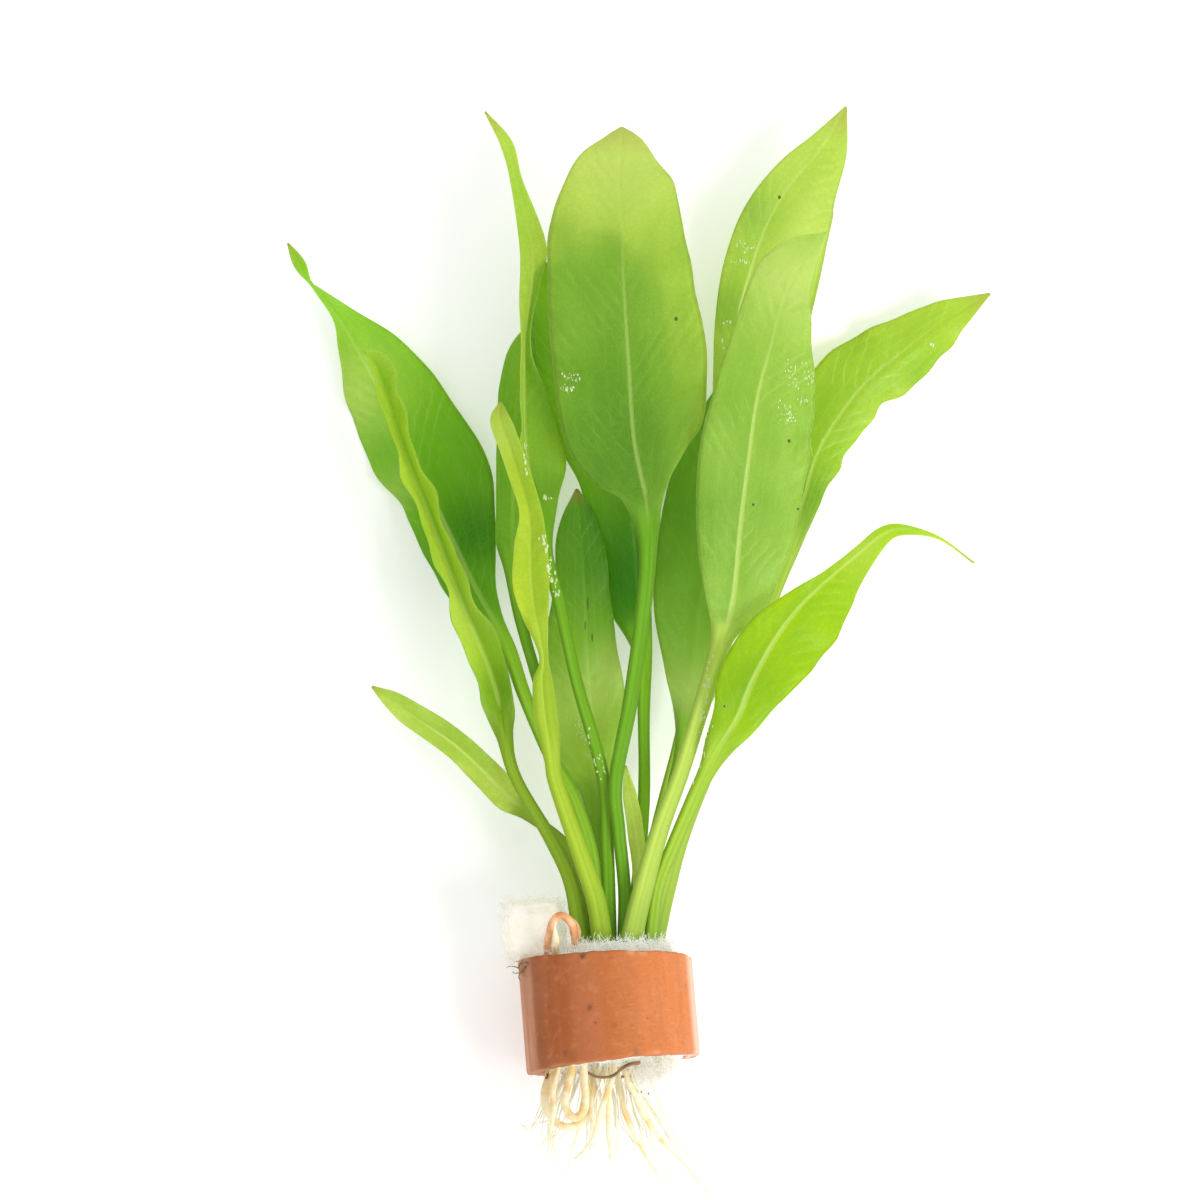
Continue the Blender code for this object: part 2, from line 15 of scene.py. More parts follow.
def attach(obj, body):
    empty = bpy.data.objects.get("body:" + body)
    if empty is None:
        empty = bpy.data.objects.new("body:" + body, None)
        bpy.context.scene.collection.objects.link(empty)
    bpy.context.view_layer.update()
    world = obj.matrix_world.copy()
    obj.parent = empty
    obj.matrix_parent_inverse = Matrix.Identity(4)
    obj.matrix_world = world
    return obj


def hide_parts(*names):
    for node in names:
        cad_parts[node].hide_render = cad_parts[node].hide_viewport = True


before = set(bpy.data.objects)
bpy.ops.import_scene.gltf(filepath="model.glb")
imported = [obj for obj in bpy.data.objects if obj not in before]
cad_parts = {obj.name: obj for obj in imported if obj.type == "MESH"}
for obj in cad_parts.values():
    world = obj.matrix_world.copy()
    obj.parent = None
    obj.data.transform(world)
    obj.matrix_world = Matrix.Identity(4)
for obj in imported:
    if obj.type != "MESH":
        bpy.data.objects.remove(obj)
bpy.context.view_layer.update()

MM = 0.001
# Curves: steps between two knots, and fewest stations
CURVE_STEPS = 24
FEWEST_STATIONS = 6

# Camera, light and floor
EYE = (-2.1, -77.9, 1004.8)
TARGET = (-2.1, 95.7, 20.0)
LENS_MM = 129.0
SENSOR_MM = 36.0
NEAREST_M = 0.01
WORLD_STRENGTH = 0.85
FLOOR_GLOW = 0.25
KEY_PLACE = (780.0, -420.0, 900.0)
KEY_TARGET = (0.0, 90.0, 20.0)
KEY_SIZE_M = 0.55
KEY_WATTS = 10.0
FLOOR_HALF_M = 4.0

# Clay ring, as in the solid part: its turn about Z, height of its axis, radii, and where
# its ends lie along the axis and how they slant
RING_TURN = 4.7
AXIS_HEIGHT = 19.83
RING_RADIUS = 19.9
BORE_RADIUS = 16.5
RING_BACK = -12.05
RING_FRONT = 12.4
RING_BACK_SLANT = 0.03
RING_FRONT_SLANT = -0.052

# Leaf stations, as in the solid part but for small corrections: x, y, z of the midrib,
# left and right half widths (equal where one is left out), left and right rise in degrees
# (0 where left out). Rise is how far each side of the blade is turned up.
LEAVES = {
    "leaf_front_broad": (
        (3.3, 15.6, 25, 1.5), (3.5, 27.5, 25.5, 1.5), (2.2, 41, 28, 1.5), (1.5, 52, 30, 1.6),
        (5, 70.5, 32, 1.8, 1.7), (8, 93, 34, 1.8, 1.9), (9, 106, 35, 2.4, 2.2, 10, 10),
        (8.5, 116.5, 35.5, 5.6, 4.3, 15, 12), (7, 123.5, 36, 12, 9.5, 12, 10),
        (5.5, 132.5, 36, 16.2, 16, 8, 4), (4.5, 149, 36.5, 17.7, 18.2, 5, 2),
        (3.5, 166, 36, 17.8, 16.5, 3, 0), (3, 183, 35, 16.8, 14.2, 0, -4),
        (2.5, 194, 34, 12.4, 12, -4, -8), (3, 202, 33, 6.5, 6.5, -4, -8), (3, 206, 32.5, 0.3),
    ),
    "leaf_right_front": (
        (5, 15.6, 29, 2.6), (7, 24.5, 29.5, 2.4), (11.5, 40.5, 31, 2.1), (16.5, 54, 32, 1.9),
        (21.5, 70, 33, 2), (26, 84, 34, 3, 2.4, 15, 0), (28.5, 94, 35.5, 7, 8.7, 15, -8),
        (30, 109, 37.5, 10.2, 12.5, 10, -4), (32, 125, 39.5, 11.6, 13.8, 6, -8),
        (34, 139, 40, 10.4, 13.8, 2, -10), (37, 150.5, 39.5, 9.8, 11, 0, -12),
        (40.5, 163, 38, 9.2, 6.6, 0, -14), (45, 172.5, 36.5, 7.6, 3.6, 0, -14),
        (50.5, 180, 34.5, 0.3),
    ),
    "leaf_right_droop": (
        (9.6, 15.6, 26.2, 1.5), (10.6, 25, 27, 1.5), (12.5, 32, 28, 1.6), (19, 47, 31, 1.8),
        (22.5, 54, 33.5, 2.2, 2), (25.5, 59.5, 35.5, 4, 3.2, 10, 5),
        (29.5, 66, 37, 6.2, 5.4, 10, 0), (32.5, 73.5, 38, 8, 8.4, 10, -5),
        (38, 83.5, 38.5, 7.2, 11.2, 10, -12), (44, 91.5, 37.5, 4.2, 11.5, 20, -18),
        (51, 98.5, 35, 2.2, 8.8, 30, -24), (57.5, 104.5, 31, 1.9, 4.6, 30, -24),
        (63.5, 110, 26, 1.9, 2.3, 10, -10), (68.5, 112, 22, 1.3, 1.4), (77.5, 111.5, 14, 0.4),
        (86, 106.5, 9, 0.25),
    ),
    "leaf_right_far": (
        (10.4, 15.6, 22, 2.2), (13, 27, 20, 2), (18, 43.5, 17.5, 1.6), (29.5, 72, 12, 1.4),
        (38, 96.5, 8.5, 1.4), (42.5, 109.5, 7, 2.6, 2.2), (46, 122, 6, 6.5, 4.2, 0, -10),
        (50.5, 135.5, 5, 10, 6.6, 0, -20), (60, 149.5, 4.5, 11.5, 7.4, 2, -28),
        (70.5, 158.5, 5, 8.5, 8.6, 4, -30), (80, 165.5, 7.5, 5, 5.2, 5, -25), (90.5, 171, 12, 0.3),
    ),
    "leaf_right_back": (
        (6.5, 15.6, 16.5, 1.4), (10.5, 40.5, 14, 1.4), (17.5, 69, 10, 1.4), (21.5, 98, 7.5, 1.5),
        (24, 117, 7, 3, 5, 0, 5), (27.5, 141.5, 7, 3.2, 12, 0, 8), (30, 162, 7.5, 5, 16.6, 10, 10),
        (33, 174.5, 8.5, 6.6, 16.8, 14, 8), (37.5, 187.5, 10, 7, 15.5, 16, 6),
        (43.5, 197.5, 12, 6, 12.5, 16, 4), (51, 206, 14.5, 4.2, 6.5, 12, 0),
        (56.5, 215.5, 17, 0.3),
    ),
    "leaf_right_inner": (
        (8, 15.6, 18.8, 1.3), (10.5, 35, 19, 1.3), (14.5, 51, 19.2, 1.4),
        (17.5, 64, 19, 2.2, 2.6, 10, 0), (19.5, 78.5, 18.5, 6.6, 7, 10, 0),
        (21, 93.5, 18, 10.8, 9, 6, 0), (23.5, 108, 17.5, 12.4, 9.2, 4, 0),
        (26.5, 126, 17, 11.6, 8.4, 4, 0), (30, 141.5, 16.5, 7.6, 6.4, 4, 0),
        (32.5, 157.5, 16, 0.3),
    ),
    "leaf_young": (
        (6.6, 15.6, 24.8, 1.5), (7, 30, 25, 1.6), (6, 41, 26, 1.9, 1.9, 10, 10),
        (4.8, 48.5, 26.5, 1.7, 1.7, 20, 20), (3.7, 56, 26.5, 0.3),
    ),
    "leaf_centre_back": (
        (4.4, 15.6, 21, 1.4), (6.5, 30, 21.3, 1.4), (8, 48.5, 21.5, 1.4), (8, 67, 22, 1.4),
        (8, 82.5, 22.5, 2.4, 2), (7, 95, 23.8, 7.8, 2.9, -4, 0), (6, 109, 26, 9.8, 5, -6, 0),
        (4, 122, 29.8, 11.5, 9.5, -12, 0), (2.5, 135, 33.1, 17, 12, -17, 0),
        (0, 154, 34.6, 19.5, 13.5, -20, -2), (-1.5, 167.5, 34.2, 17.5, 13, -20, -4),
        (-0.5, 175, 33.6, 10.5, 9, -14, -4), (1.5, 180, 33, 0.4),
    ),
    "leaf_centre_low": (
        (-0.3, 15.6, 21.3, 1.4), (-1, 30, 21.3, 1.4), (-2.5, 41.5, 22, 1.6, 1.4),
        (-3, 51, 22.5, 4.2, 3, -10, 0), (-3.5, 60, 23.5, 9, 5.2, -12, 0),
        (-4, 71.5, 25, 10.4, 7.8, -10, 0), (-5, 83, 26.5, 10.2, 6.8, -8, 0),
        (-5.5, 96.5, 27.5, 7.5, 5.8, -5, 0), (-6.5, 112, 28.1, 5.2, 4.4, -5, -5),
        (-7.5, 120.5, 27.9, 0.3),
    ),
    "leaf_tall_folded": (
        (0, 15.6, 25.2, 1.8), (-0.5, 36.5, 25.5, 1.6), (-1.5, 53.5, 28, 1.5), (-7.5, 75, 31, 1.4),
        (-11.5, 93, 32.5, 1.4), (-14.5, 105, 32.5, 1.6, 1.6, 40, 10),
        (-16.5, 115, 32, 2.4, 4.8, 60, 5), (-18.5, 124, 31.5, 3.2, 8.8, 75, 0),
        (-19.5, 135, 30.5, 3.4, 7.6, 80, 0), (-19.5, 154, 30, 3.2, 2.4, 80, 60),
        (-18, 168.5, 30, 3, 2.6, 20, 40), (-18, 178, 30, 3, 3.4, 10, 10),
        (-21.5, 193.5, 31, 1.7, 1.3, 10, 10), (-24, 202, 32, 1.5), (-29, 209.5, 33, 0.25),
    ),
    "leaf_yellow_twist": (
        (-1.5, 15.6, 29, 2.4), (-3, 24.5, 30.2, 2.3), (-6, 33.5, 32, 2.1), (-12, 50.5, 35, 1.8),
        (-12.9, 55.4, 35.7, 1.8, 1.9), (-13.6, 60.3, 36.3, 2.3, 2.5, 15, 15),
        (-14.4, 65, 36.8, 2.7, 2.9, 20, 20), (-14.9, 69.5, 37.2, 2.6, 2.9, 20, 20),
        (-15.2, 74, 37.6, 2.3, 2.5, 20, 20), (-15, 80, 38, 1.1, 1.2, 20, 20),
        (-17.5, 93.5, 38.5, 4.3, 4, 15, 15), (-18, 104, 38.5, 3.9, 4.1, 15, 15),
        (-18.5, 113.5, 38.5, 2.6, 3, 30, 10), (-22.5, 127.5, 37, 2.7, 2.7, 20, 20),
        (-25, 135, 36, 2.5, 2.3, 10, 10), (-25, 139.5, 35, 0.3),
    ),
    "leaf_left_broad": (
        (-3.2, 15.6, 25, 1.5), (-3.2, 28.5, 27, 1.5), (-4.5, 37.5, 28.3, 1.6),
        (-8.5, 49, 28.8, 1.6), (-14, 59, 28, 1.5), (-19.5, 72.5, 24.5, 1.6),
        (-23, 83, 22, 2.2, 1.8), (-27, 91.5, 19, 5.2, 2.4, -5, 5),
        (-31.5, 100, 16, 6.6, 5.6, -8, 8), (-36.5, 111, 12, 7.8, 11, -14, 8),
        (-42, 123, 8, 7.6, 15.6, -20, 8), (-48.5, 135.5, 5, 9.8, 15.6, -24, 6),
        (-54, 148, 4.2, 9.4, 13, -22, 5), (-59.5, 158, 5.5, 5.6, 9.4, -15, 5),
        (-64, 165.5, 8, 1.6, 4.2, -5, 5), (-69, 171.5, 12, 0.8, 1), (-71, 173.5, 13.5, 0.5),
        (-73.5, 177.5, 15, 1.6, 1.8, 30, 30), (-76, 182, 17, 0.25),
    ),
    "leaf_left_folded": (
        (-6.3, 15.6, 25, 2.1), (-8.5, 28.5, 25.5, 1.8), (-13, 38.5, 25, 1.6),
        (-21.5, 53.5, 24.5, 1.4), (-24, 63.5, 24, 2.4, 2, 40, 30), (-25.5, 71.5, 24, 6, 5, 58, 50),
        (-28.5, 81, 24, 7.5, 7, 62, 60), (-34, 94.5, 22.5, 8, 8, 72, 74),
        (-42, 116, 19.5, 8.5, 8.5, 80, 82), (-48, 132, 17, 7.5, 7.5, 80, 80),
        (-52, 144.5, 15.5, 5.5, 5.5, 75, 60), (-55, 152.5, 15.5, 2.6, 4.2, 60, 30),
        (-58, 156, 16, 0.3),
    ),
    "leaf_left_small": (
        (-4.9, 15.6, 21.5, 1.5), (-6.5, 31.5, 20, 1.4), (-10.5, 39, 19.5, 1.3),
        (-18.5, 45.5, 18.5, 1.5), (-23.5, 50, 18.5, 3.7, 3.4, 10, 10),
        (-30, 56.5, 20, 3.5, 3.6, 20, 20), (-36.5, 62, 22.5, 3.5, 3.6, 20, 20),
        (-43.5, 66.5, 25, 3.1, 3.3, 20, 20), (-49.5, 70.5, 27, 2.2, 2.6, 15, 15),
        (-54.5, 74, 28.5, 0.3),
    ),
    "leaf_left_back": (
        (-3.5, 15.6, 18, 1.3), (-6, 33, 17.2, 1.3), (-10.5, 54, 17, 1.3), (-16, 75, 17.5, 1.3),
        (-20.5, 91, 18.5, 1.4), (-22.5, 103, 19, 2), (-22.5, 110, 19, 4, 3.5),
        (-22.5, 122, 19, 3.9, 6), (-22.5, 136.5, 19, 3.8, 7), (-21, 149.5, 19, 4.4, 6),
        (-19, 157, 18.5, 3.6), (-15.5, 164, 18, 0.3),
    ),
}

# Leaf style: deep and light colour, colour of light that comes through, petiole
# colour, wave height of the margins, wave length, arch in degrees, strength of the
# side veins and of the midrib, tan at the tip, and where along the leaf painted shade
# darkens it, where other leaves lie over it: from, to (shares of its length) and how much.
GREEN = dict(deep=(0.12, 0.42, 0.02), light=(0.22, 0.56, 0.04), through=(0.96, 0.99, 0.40),
             stalk=(0.19, 0.42, 0.015), wave=0.55, length=19.0, arch=14.0, veins=0.45, rib=0.6,
             tan=0.35, shade=(0.0, 1.0, 0.0))
STYLES = {
    "leaf_front_broad": dict(
        deep=(0.15, 0.40, 0.03), light=(0.23, 0.52, 0.05), through=(0.95, 0.97, 0.41),
        stalk=(0.13, 0.37, 0.004), veins=0.35, rib=0.5),
    "leaf_right_front": dict(
        deep=(0.17, 0.43, 0.04), light=(0.30, 0.56, 0.10), through=(0.90, 0.98, 0.42),
        stalk=(0.50, 0.68, 0.10), veins=0.6, rib=0.75, tan=0.0),
    "leaf_right_droop": dict(
        deep=(0.14, 0.43, 0.002), light=(0.24, 0.53, 0.004), through=(0.86, 0.93, 0.06),
        stalk=(0.38, 0.60, 0.05), veins=0.4),
    "leaf_right_far": dict(
        deep=(0.10, 0.44, 0.01), light=(0.22, 0.56, 0.03), through=(0.91, 0.92, 0.28),
        stalk=(0.44, 0.64, 0.09), wave=0.9, length=15.0, veins=0.9),
    "leaf_right_back": dict(
        deep=(0.12, 0.40, 0.01), light=(0.24, 0.54, 0.05), through=(0.93, 0.95, 0.42),
        stalk=(0.32, 0.52, 0.03), veins=0.6, rib=0.9),
    "leaf_right_inner": dict(
        deep=(0.03, 0.28, 0.04), light=(0.10, 0.42, 0.06), through=(0.74, 0.89, 0.30), rib=0.2,
        shade=(0.35, 0.75, 0.35)),
    "leaf_young": dict(
        deep=(0.36, 0.56, 0.08), light=(0.50, 0.66, 0.14), stalk=(0.46, 0.64, 0.12)),
    "leaf_centre_back": dict(
        deep=(0.02, 0.22, 0.003), light=(0.06, 0.36, 0.008), through=(0.62, 0.82, 0.16),
        stalk=(0.21, 0.47, 0.01), rib=0.2, shade=(0.68, 0.52, 0.9)),
    "leaf_centre_low": dict(
        deep=(0.07, 0.33, 0.01), light=(0.15, 0.43, 0.02), tan=0.9, through=(0.78, 0.90, 0.28),
        veins=0.7, rib=0.2, shade=(0.55, 0.9, 0.6)),
    "leaf_tall_folded": dict(
        deep=(0.10, 0.40, 0.005), light=(0.22, 0.52, 0.03), through=(0.94, 0.98, 0.37),
        stalk=(0.15, 0.38, 0.005), veins=0.5),
    "leaf_yellow_twist": dict(
        deep=(0.34, 0.58, 0.02), light=(0.50, 0.68, 0.05), through=(0.98, 1.0, 0.22),
        stalk=(0.38, 0.56, 0.03), rib=0.3),
    "leaf_left_small": dict(
        deep=(0.16, 0.44, 0.01), light=(0.30, 0.58, 0.05), through=(0.90, 0.91, 0.40),
        stalk=(0.27, 0.46, 0.02)),
    "leaf_left_folded": dict(
        deep=(0.16, 0.46, 0.02), light=(0.30, 0.60, 0.05), through=(0.88, 0.96, 0.28),
        stalk=(0.29, 0.48, 0.02), arch=5.0, tan=0.0),
    "leaf_left_broad": dict(
        deep=(0.04, 0.32, 0.003), light=(0.12, 0.46, 0.01), through=(0.70, 0.92, 0.14), veins=0.7,
        stalk=(0.25, 0.48, 0.02), rib=0.8, shade=(0.75, 0.5, 0.55)),
    "leaf_left_back": dict(
        deep=(0.04, 0.28, 0.005), light=(0.12, 0.42, 0.02), through=(0.68, 0.86, 0.22), rib=0.3),
}
# Patches of leaf that are lighter (+) or darker (-), partly the leaf's own tone and partly
# painted light where more light comes through, and painted shade under other leaves:
# x, y, radius, strength; and the most that they add up to
TONES = {
    "leaf_front_broad": ((3, 198, 16, 0.4), (3, 124, 16, -0.4), (0, 160, 12, 0.12)),
    "leaf_right_front": ((31, 110, 15, -0.15), (43, 168, 12, 0.6)),
    "leaf_right_far": ((45, 122, 8, -0.5), (66, 146, 9, 0.15)),
    "leaf_right_droop": ((58, 105, 8, 0.25), (33, 74, 8, -0.15)),
    "leaf_right_back": ((29, 168, 6, -0.35), (35, 191, 5, -0.3), (47, 184, 11, 0.3)),
    "leaf_right_inner": ((19, 70, 12, 0.6),),
    "leaf_centre_back": ((8, 103, 13, -0.9),),
    "leaf_centre_low": ((2, 78, 8, 0.45), (-9, 70, 9, 0.35), (-9, 94, 8, -0.3),
                        (-8, 110, 8, -0.2)),
    "leaf_yellow_twist": ((-24, 132, 8, 0.4),),
    "leaf_tall_folded": ((-13, 120, 8, -0.3),),
    "leaf_left_broad": ((-60, 148, 12, 0.6), (-50, 124, 7, 0.45), (-32, 112, 13, -0.9)),
    "leaf_left_folded": ((-32, 92, 9, 0.2), (-26, 73, 7, -0.35)),
}
TONE_LIMIT = 0.9

# Share of the light that a blade and a petiole let through
THROUGH_SHARE = 0.70
STALK_THROUGH_SHARE = 0.28

# Colours of the leaf skin, and of the light that comes through it. The light patch and
# light-through colours are painted light; the dark skin and dark-through colours are
# painted shade, and also give the leaves' own darker patches.
LIGHT_PATCH = (0.68, 0.76, 0.28)
DARK_SKIN_AND_SHADE = (0.010, 0.15, 0.002)
VEIN_TINT = (0.60, 0.78, 0.24)
RIB_TINT = (0.70, 0.84, 0.28)
RIM_TINT = (0.46, 0.80, 0.26)
OLD_TINT = (0.36, 0.30, 0.10)
SPECK_TINT = (0.05, 0.09, 0.01)
STALK_BASE = (0.08, 0.27, 0.01)
LIGHT_THROUGH = (1.0, 1.0, 0.62)
DARK_THROUGH = (0.24, 0.52, 0.05)
VEIN_THROUGH = (0.94, 0.99, 0.60)
OLD_THROUGH = (0.62, 0.50, 0.22)

# Veins: places of the main veins (shares of the half width), and the gap, slant, wobble
# and offset from side to side of the cross veins
MAIN_VEINS = (0.30, 0.56, 0.80)
CROSS_GAP = 4.6
CROSS_SLANT = 1.5
CROSS_WOBBLE = 5.0
CROSS_OFFSET = 1.1

# Leaf meshes: length of a step, columns from midrib to margin, and how evenly they are
# spaced (less than 1 crowds them at the midrib)
LEAF_STEP = 1.3
LEAF_COLUMNS = 18
EVEN_COLUMNS = 0.35
# A blade's curve across: steps, where it has its full rise, and where its arch is level,
# as shares of its half width
ARC_STEPS = 8
RISE_REACH = 0.22
ARCH_MIDDLE = 0.35

# Half widths where a petiole ends and a full blade begins, at most these and at most a
# share of the leaf's own half width
PETIOLE_HALF_WIDTH = 2.4
BLADE_HALF_WIDTH = 6.0
SMALL_PETIOLE_SHARE = 0.5
SMALL_BLADE_SHARE = 0.9
LEAST_HALF_WIDTH = 0.16
# How far a petiole goes on into the wool, and how far leaves stay over the table
BASE_IN_WOOL = 6.0
TABLE_CLEARANCE = 0.15
LEAST_THICKNESS = 0.2

# Waves of the margin: a second, shorter wave, and how they fade towards the midrib
SHORT_WAVE_HEIGHT = 0.6
SHORT_WAVE_LENGTH = 0.61
MARGIN_POWER = 2.2
# Lumps of the blade: height, size
SWELL = (0.5, 22.0)
PUCKER = (0.16, 6.5)

# Section of a blade: half thickness, extra height of the top, groove over the midrib
# (depth, half width), and the midrib below (height, its fall to the tip, half width)
SHEET_HALF = 0.15
SHEET_CROWN = 0.10
GROOVE = (0.22, 0.45)
RIB = (1.05, 0.75, 0.85)
# Section of a petiole: height of its top and bottom as shares of its half width, and the
# dent along its top (depth, half width)
STALK_TOP, STALK_LOW = 0.62, 0.80
STALK_DENT = (0.16, 0.35)
TOP_LIMIT, LOW_LIMIT = 1.25, 1.5


def scene_collection():
    """The scene's own collection."""
    return bpy.context.scene.collection


def add_object(name, verts, faces, material, replaced=()):
    """A smooth mesh piece that rides on the plant."""
    mesh = bpy.data.meshes.new(name)
    mesh.from_pydata([tuple(v) for v in np.asarray(verts, float) * MM], [], faces)
    mesh.validate()
    mesh.shade_smooth()
    piece = bpy.data.objects.new(name, mesh)
    scene_collection().objects.link(piece)
    mesh.materials.append(material)
    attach(piece, "root")
    if replaced:
        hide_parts(*replaced)
    return piece


def add_attribute(piece, name, values):
    """A number for each vertex, which the material reads."""
    made = piece.data.attributes.new(name, "FLOAT", "POINT")
    made.data.foreach_set("value", np.asarray(values, np.float32).ravel())


def unit(v):
    """Vectors scaled to length one."""
    return v / np.maximum(np.linalg.norm(v, axis=-1, keepdims=True), 1e-9)


def ease(t):
    """Smooth step from 0 to 1."""
    t = np.clip(t, 0.0, 1.0)
    return t * t * (3 - 2 * t)


def through(rows, steps):
    """Smooth curve through every row, with a number of steps between two rows."""
    rows = np.array(rows, float)
    padded = np.vstack([2 * rows[0] - rows[1], rows, 2 * rows[-1] - rows[-2]])
    made = []
    for i in range(1, len(rows)):
        a, b, c, d = padded[i - 1], padded[i], padded[i + 1], padded[i + 2]
        for k in range(steps):
            t = k / steps
            made.append(0.5 * (2 * b + (c - a) * t + (2 * a - 5 * b + 4 * c - d) * t * t
                               + (3 * b - a - 3 * c + d) * t ** 3))
    made.append(rows[-1])
    return np.array(made)


def evenly(rows, step):
    """The same curve with stations about one step apart, and their distance along it."""
    fine = through(rows, CURVE_STEPS)
    gaps = np.linalg.norm(np.diff(fine[:, :3], axis=0), axis=1)
    along = np.concatenate([[0.0], np.cumsum(gaps)])
    count = max(FEWEST_STATIONS, int(round(along[-1] / step)))
    wanted = np.linspace(0.0, along[-1], count + 1)
    return np.stack([np.interp(wanted, along, column) for column in fine.T], 1), wanted


def shifted(faces, start):
    """Faces whose corners are counted on from a start."""
    return [tuple(i + start for i in face) for face in faces]


def loop_faces(count, around, start=0, closed=False, turned=False):
    """Quads between loops of corners that follow one another.

    Closed joins the last loop to the first, and turned faces look the other way.
    """
    faces = []
    for i in range(count if closed else count - 1):
        a, b = start + i * around, start + (i + 1) % count * around
        for j in range(around):
            k = (j + 1) % around
            faces.append((a + j, b + j, b + k, a + k) if turned
                         else (a + j, a + k, b + k, b + j))
    return faces


def shape_of(bm):
    """A bmesh's corners and faces, after which it is freed."""
    verts = np.array([v.co for v in bm.verts])
    faces = [tuple(v.index for v in f.verts) for f in bm.faces]
    bm.free()
    return verts, faces


def ball_shape(subdivisions):
    """A ball of radius 1."""
    bm = bmesh.new()
    bmesh.ops.create_icosphere(bm, subdivisions=subdivisions, radius=1.0)
    return shape_of(bm)


def soft_noise(points, scale, seed):
    """Smooth noise at points in millimetres, about -1 to 1."""
    shift = Vector((seed * 7.13, seed * 3.71, seed * 1.93))
    return np.array([noise.noise(Vector(p) / scale + shift) for p in points])


# ---- materials

class Nodes:
    """Short names for building a material's nodes."""

    def __init__(self, name):
        self.material = bpy.data.materials.new(name)
        self.material.use_nodes = True
        self.tree = self.material.node_tree
        self.shader = self.tree.nodes["Principled BSDF"]
        self.output = self.tree.nodes["Material Output"]

    def link(self, value, socket):
        """Feed a socket with another socket or a constant."""
        if isinstance(value, bpy.types.NodeSocket):
            self.tree.links.new(value, socket)
        elif isinstance(value, (tuple, list)) and len(value) == 3 and socket.type == "RGBA":
            socket.default_value = (*value, 1.0)
        else:
            socket.default_value = value

    def node(self, kind, inputs, **settings):
        """A node with its settings, and its inputs fed by name or number."""
        made = self.tree.nodes.new(kind)
        for key, value in settings.items():
            setattr(made, key, value)
        for key, value in inputs.items():
            self.link(value, made.inputs[key])
        return made

    def math(self, operation, a, b=0.0):
        """A Math node's value."""
        return self.node("ShaderNodeMath", {0: a, 1: b}, operation=operation).outputs[0]

    def times(self, a, b):
        """The product of two values."""
        return self.math("MULTIPLY", a, b)

    def plus(self, a, b):
        """The sum of two values."""
        return self.math("ADD", a, b)

    def minus(self, a, b):
        """The first value less the second."""
        return self.math("SUBTRACT", a, b)

    def larger(self, a, b):
        """The larger of two values."""
        return self.math("MAXIMUM", a, b)

    def mix(self, factor, a, b):
        """A mix of two colours."""
        made = self.node("ShaderNodeMix", {"Factor": factor, 6: a, 7: b}, data_type="RGBA")
        return made.outputs[2]

    def tint(self, colour, factor, strength, target):
        """A colour moved towards a target by a factor times a strength."""
        return self.mix(self.times(factor, strength), colour, target)

    def attribute(self, name):
        """A vertex attribute's value."""
        return self.node("ShaderNodeAttribute", {}, attribute_name=name).outputs["Fac"]

    def place(self):
        """Object coordinates, in metres."""
        return self.node("ShaderNodeTexCoord", {}).outputs["Object"]

    def stretched(self, vector, scale):
        """A vector scaled along each axis."""
        made = self.node("ShaderNodeVectorMath", {0: vector, 1: scale}, operation="MULTIPLY")
        return made.outputs[0]

    def combine(self, x, y):
        """A vector of two values."""
        return self.node("ShaderNodeCombineXYZ", {0: x, 1: y}).outputs[0]

    def noise(self, vector, scale, detail=3.0, roughness=0.55):
        """Noise, about 0 to 1."""
        made = self.node("ShaderNodeTexNoise", {"Vector": vector, "Scale": scale,
                                                "Detail": detail, "Roughness": roughness})
        return made.outputs["Fac"]

    def cells(self, vector, scale, feature="DISTANCE_TO_EDGE"):
        """Distance in a pattern of cells."""
        made = self.node("ShaderNodeTexVoronoi", {"Vector": vector, "Scale": scale},
                         feature=feature)
        return made.outputs["Distance"]

    def band(self, value, low, high, out_low=0.0, out_high=1.0):
        """A smooth step of a value between two limits."""
        limits = {"Value": value, "From Min": low, "From Max": high,
                  "To Min": out_low, "To Max": out_high}
        made = self.node("ShaderNodeMapRange", limits, interpolation_type="SMOOTHSTEP")
        return made.outputs["Result"]

    def ramp(self, value, start, end):
        """0 at the start and 1 at the end, whichever of the two is larger."""
        if start < end:
            return self.band(value, start, end)
        return self.band(value, end, start, 1.0, 0.0)

    def bump(self, height, strength, distance_mm):
        """A bumped normal."""
        made = self.node("ShaderNodeBump", {"Height": height, "Strength": strength,
                                            "Distance": distance_mm * MM})
        return made.outputs["Normal"]

    def see_through(self, colour, share, normal=None):
        """Let a share of the light come through a thin sheet."""
        thin = self.node("ShaderNodeBsdfTranslucent", {"Color": colour})
        if normal is not None:
            self.link(normal, thin.inputs["Normal"])
        both = self.node("ShaderNodeMixShader", {"Fac": share})
        self.tree.links.new(self.shader.outputs[0], both.inputs[1])
        self.tree.links.new(thin.outputs[0], both.inputs[2])
        self.tree.links.new(both.outputs[0], self.output.inputs["Surface"])

    def set(self, **values):
        """Set or link the shader's own sockets."""
        for key, value in values.items():
            self.link(value, self.shader.inputs[key.replace("_", " ").title()])


def line(nodes, distance, half_width, softness):
    """1 on a line and 0 away from it, from the distance to its middle in mm."""
    return nodes.band(distance, half_width, half_width + softness, 1.0, 0.0)


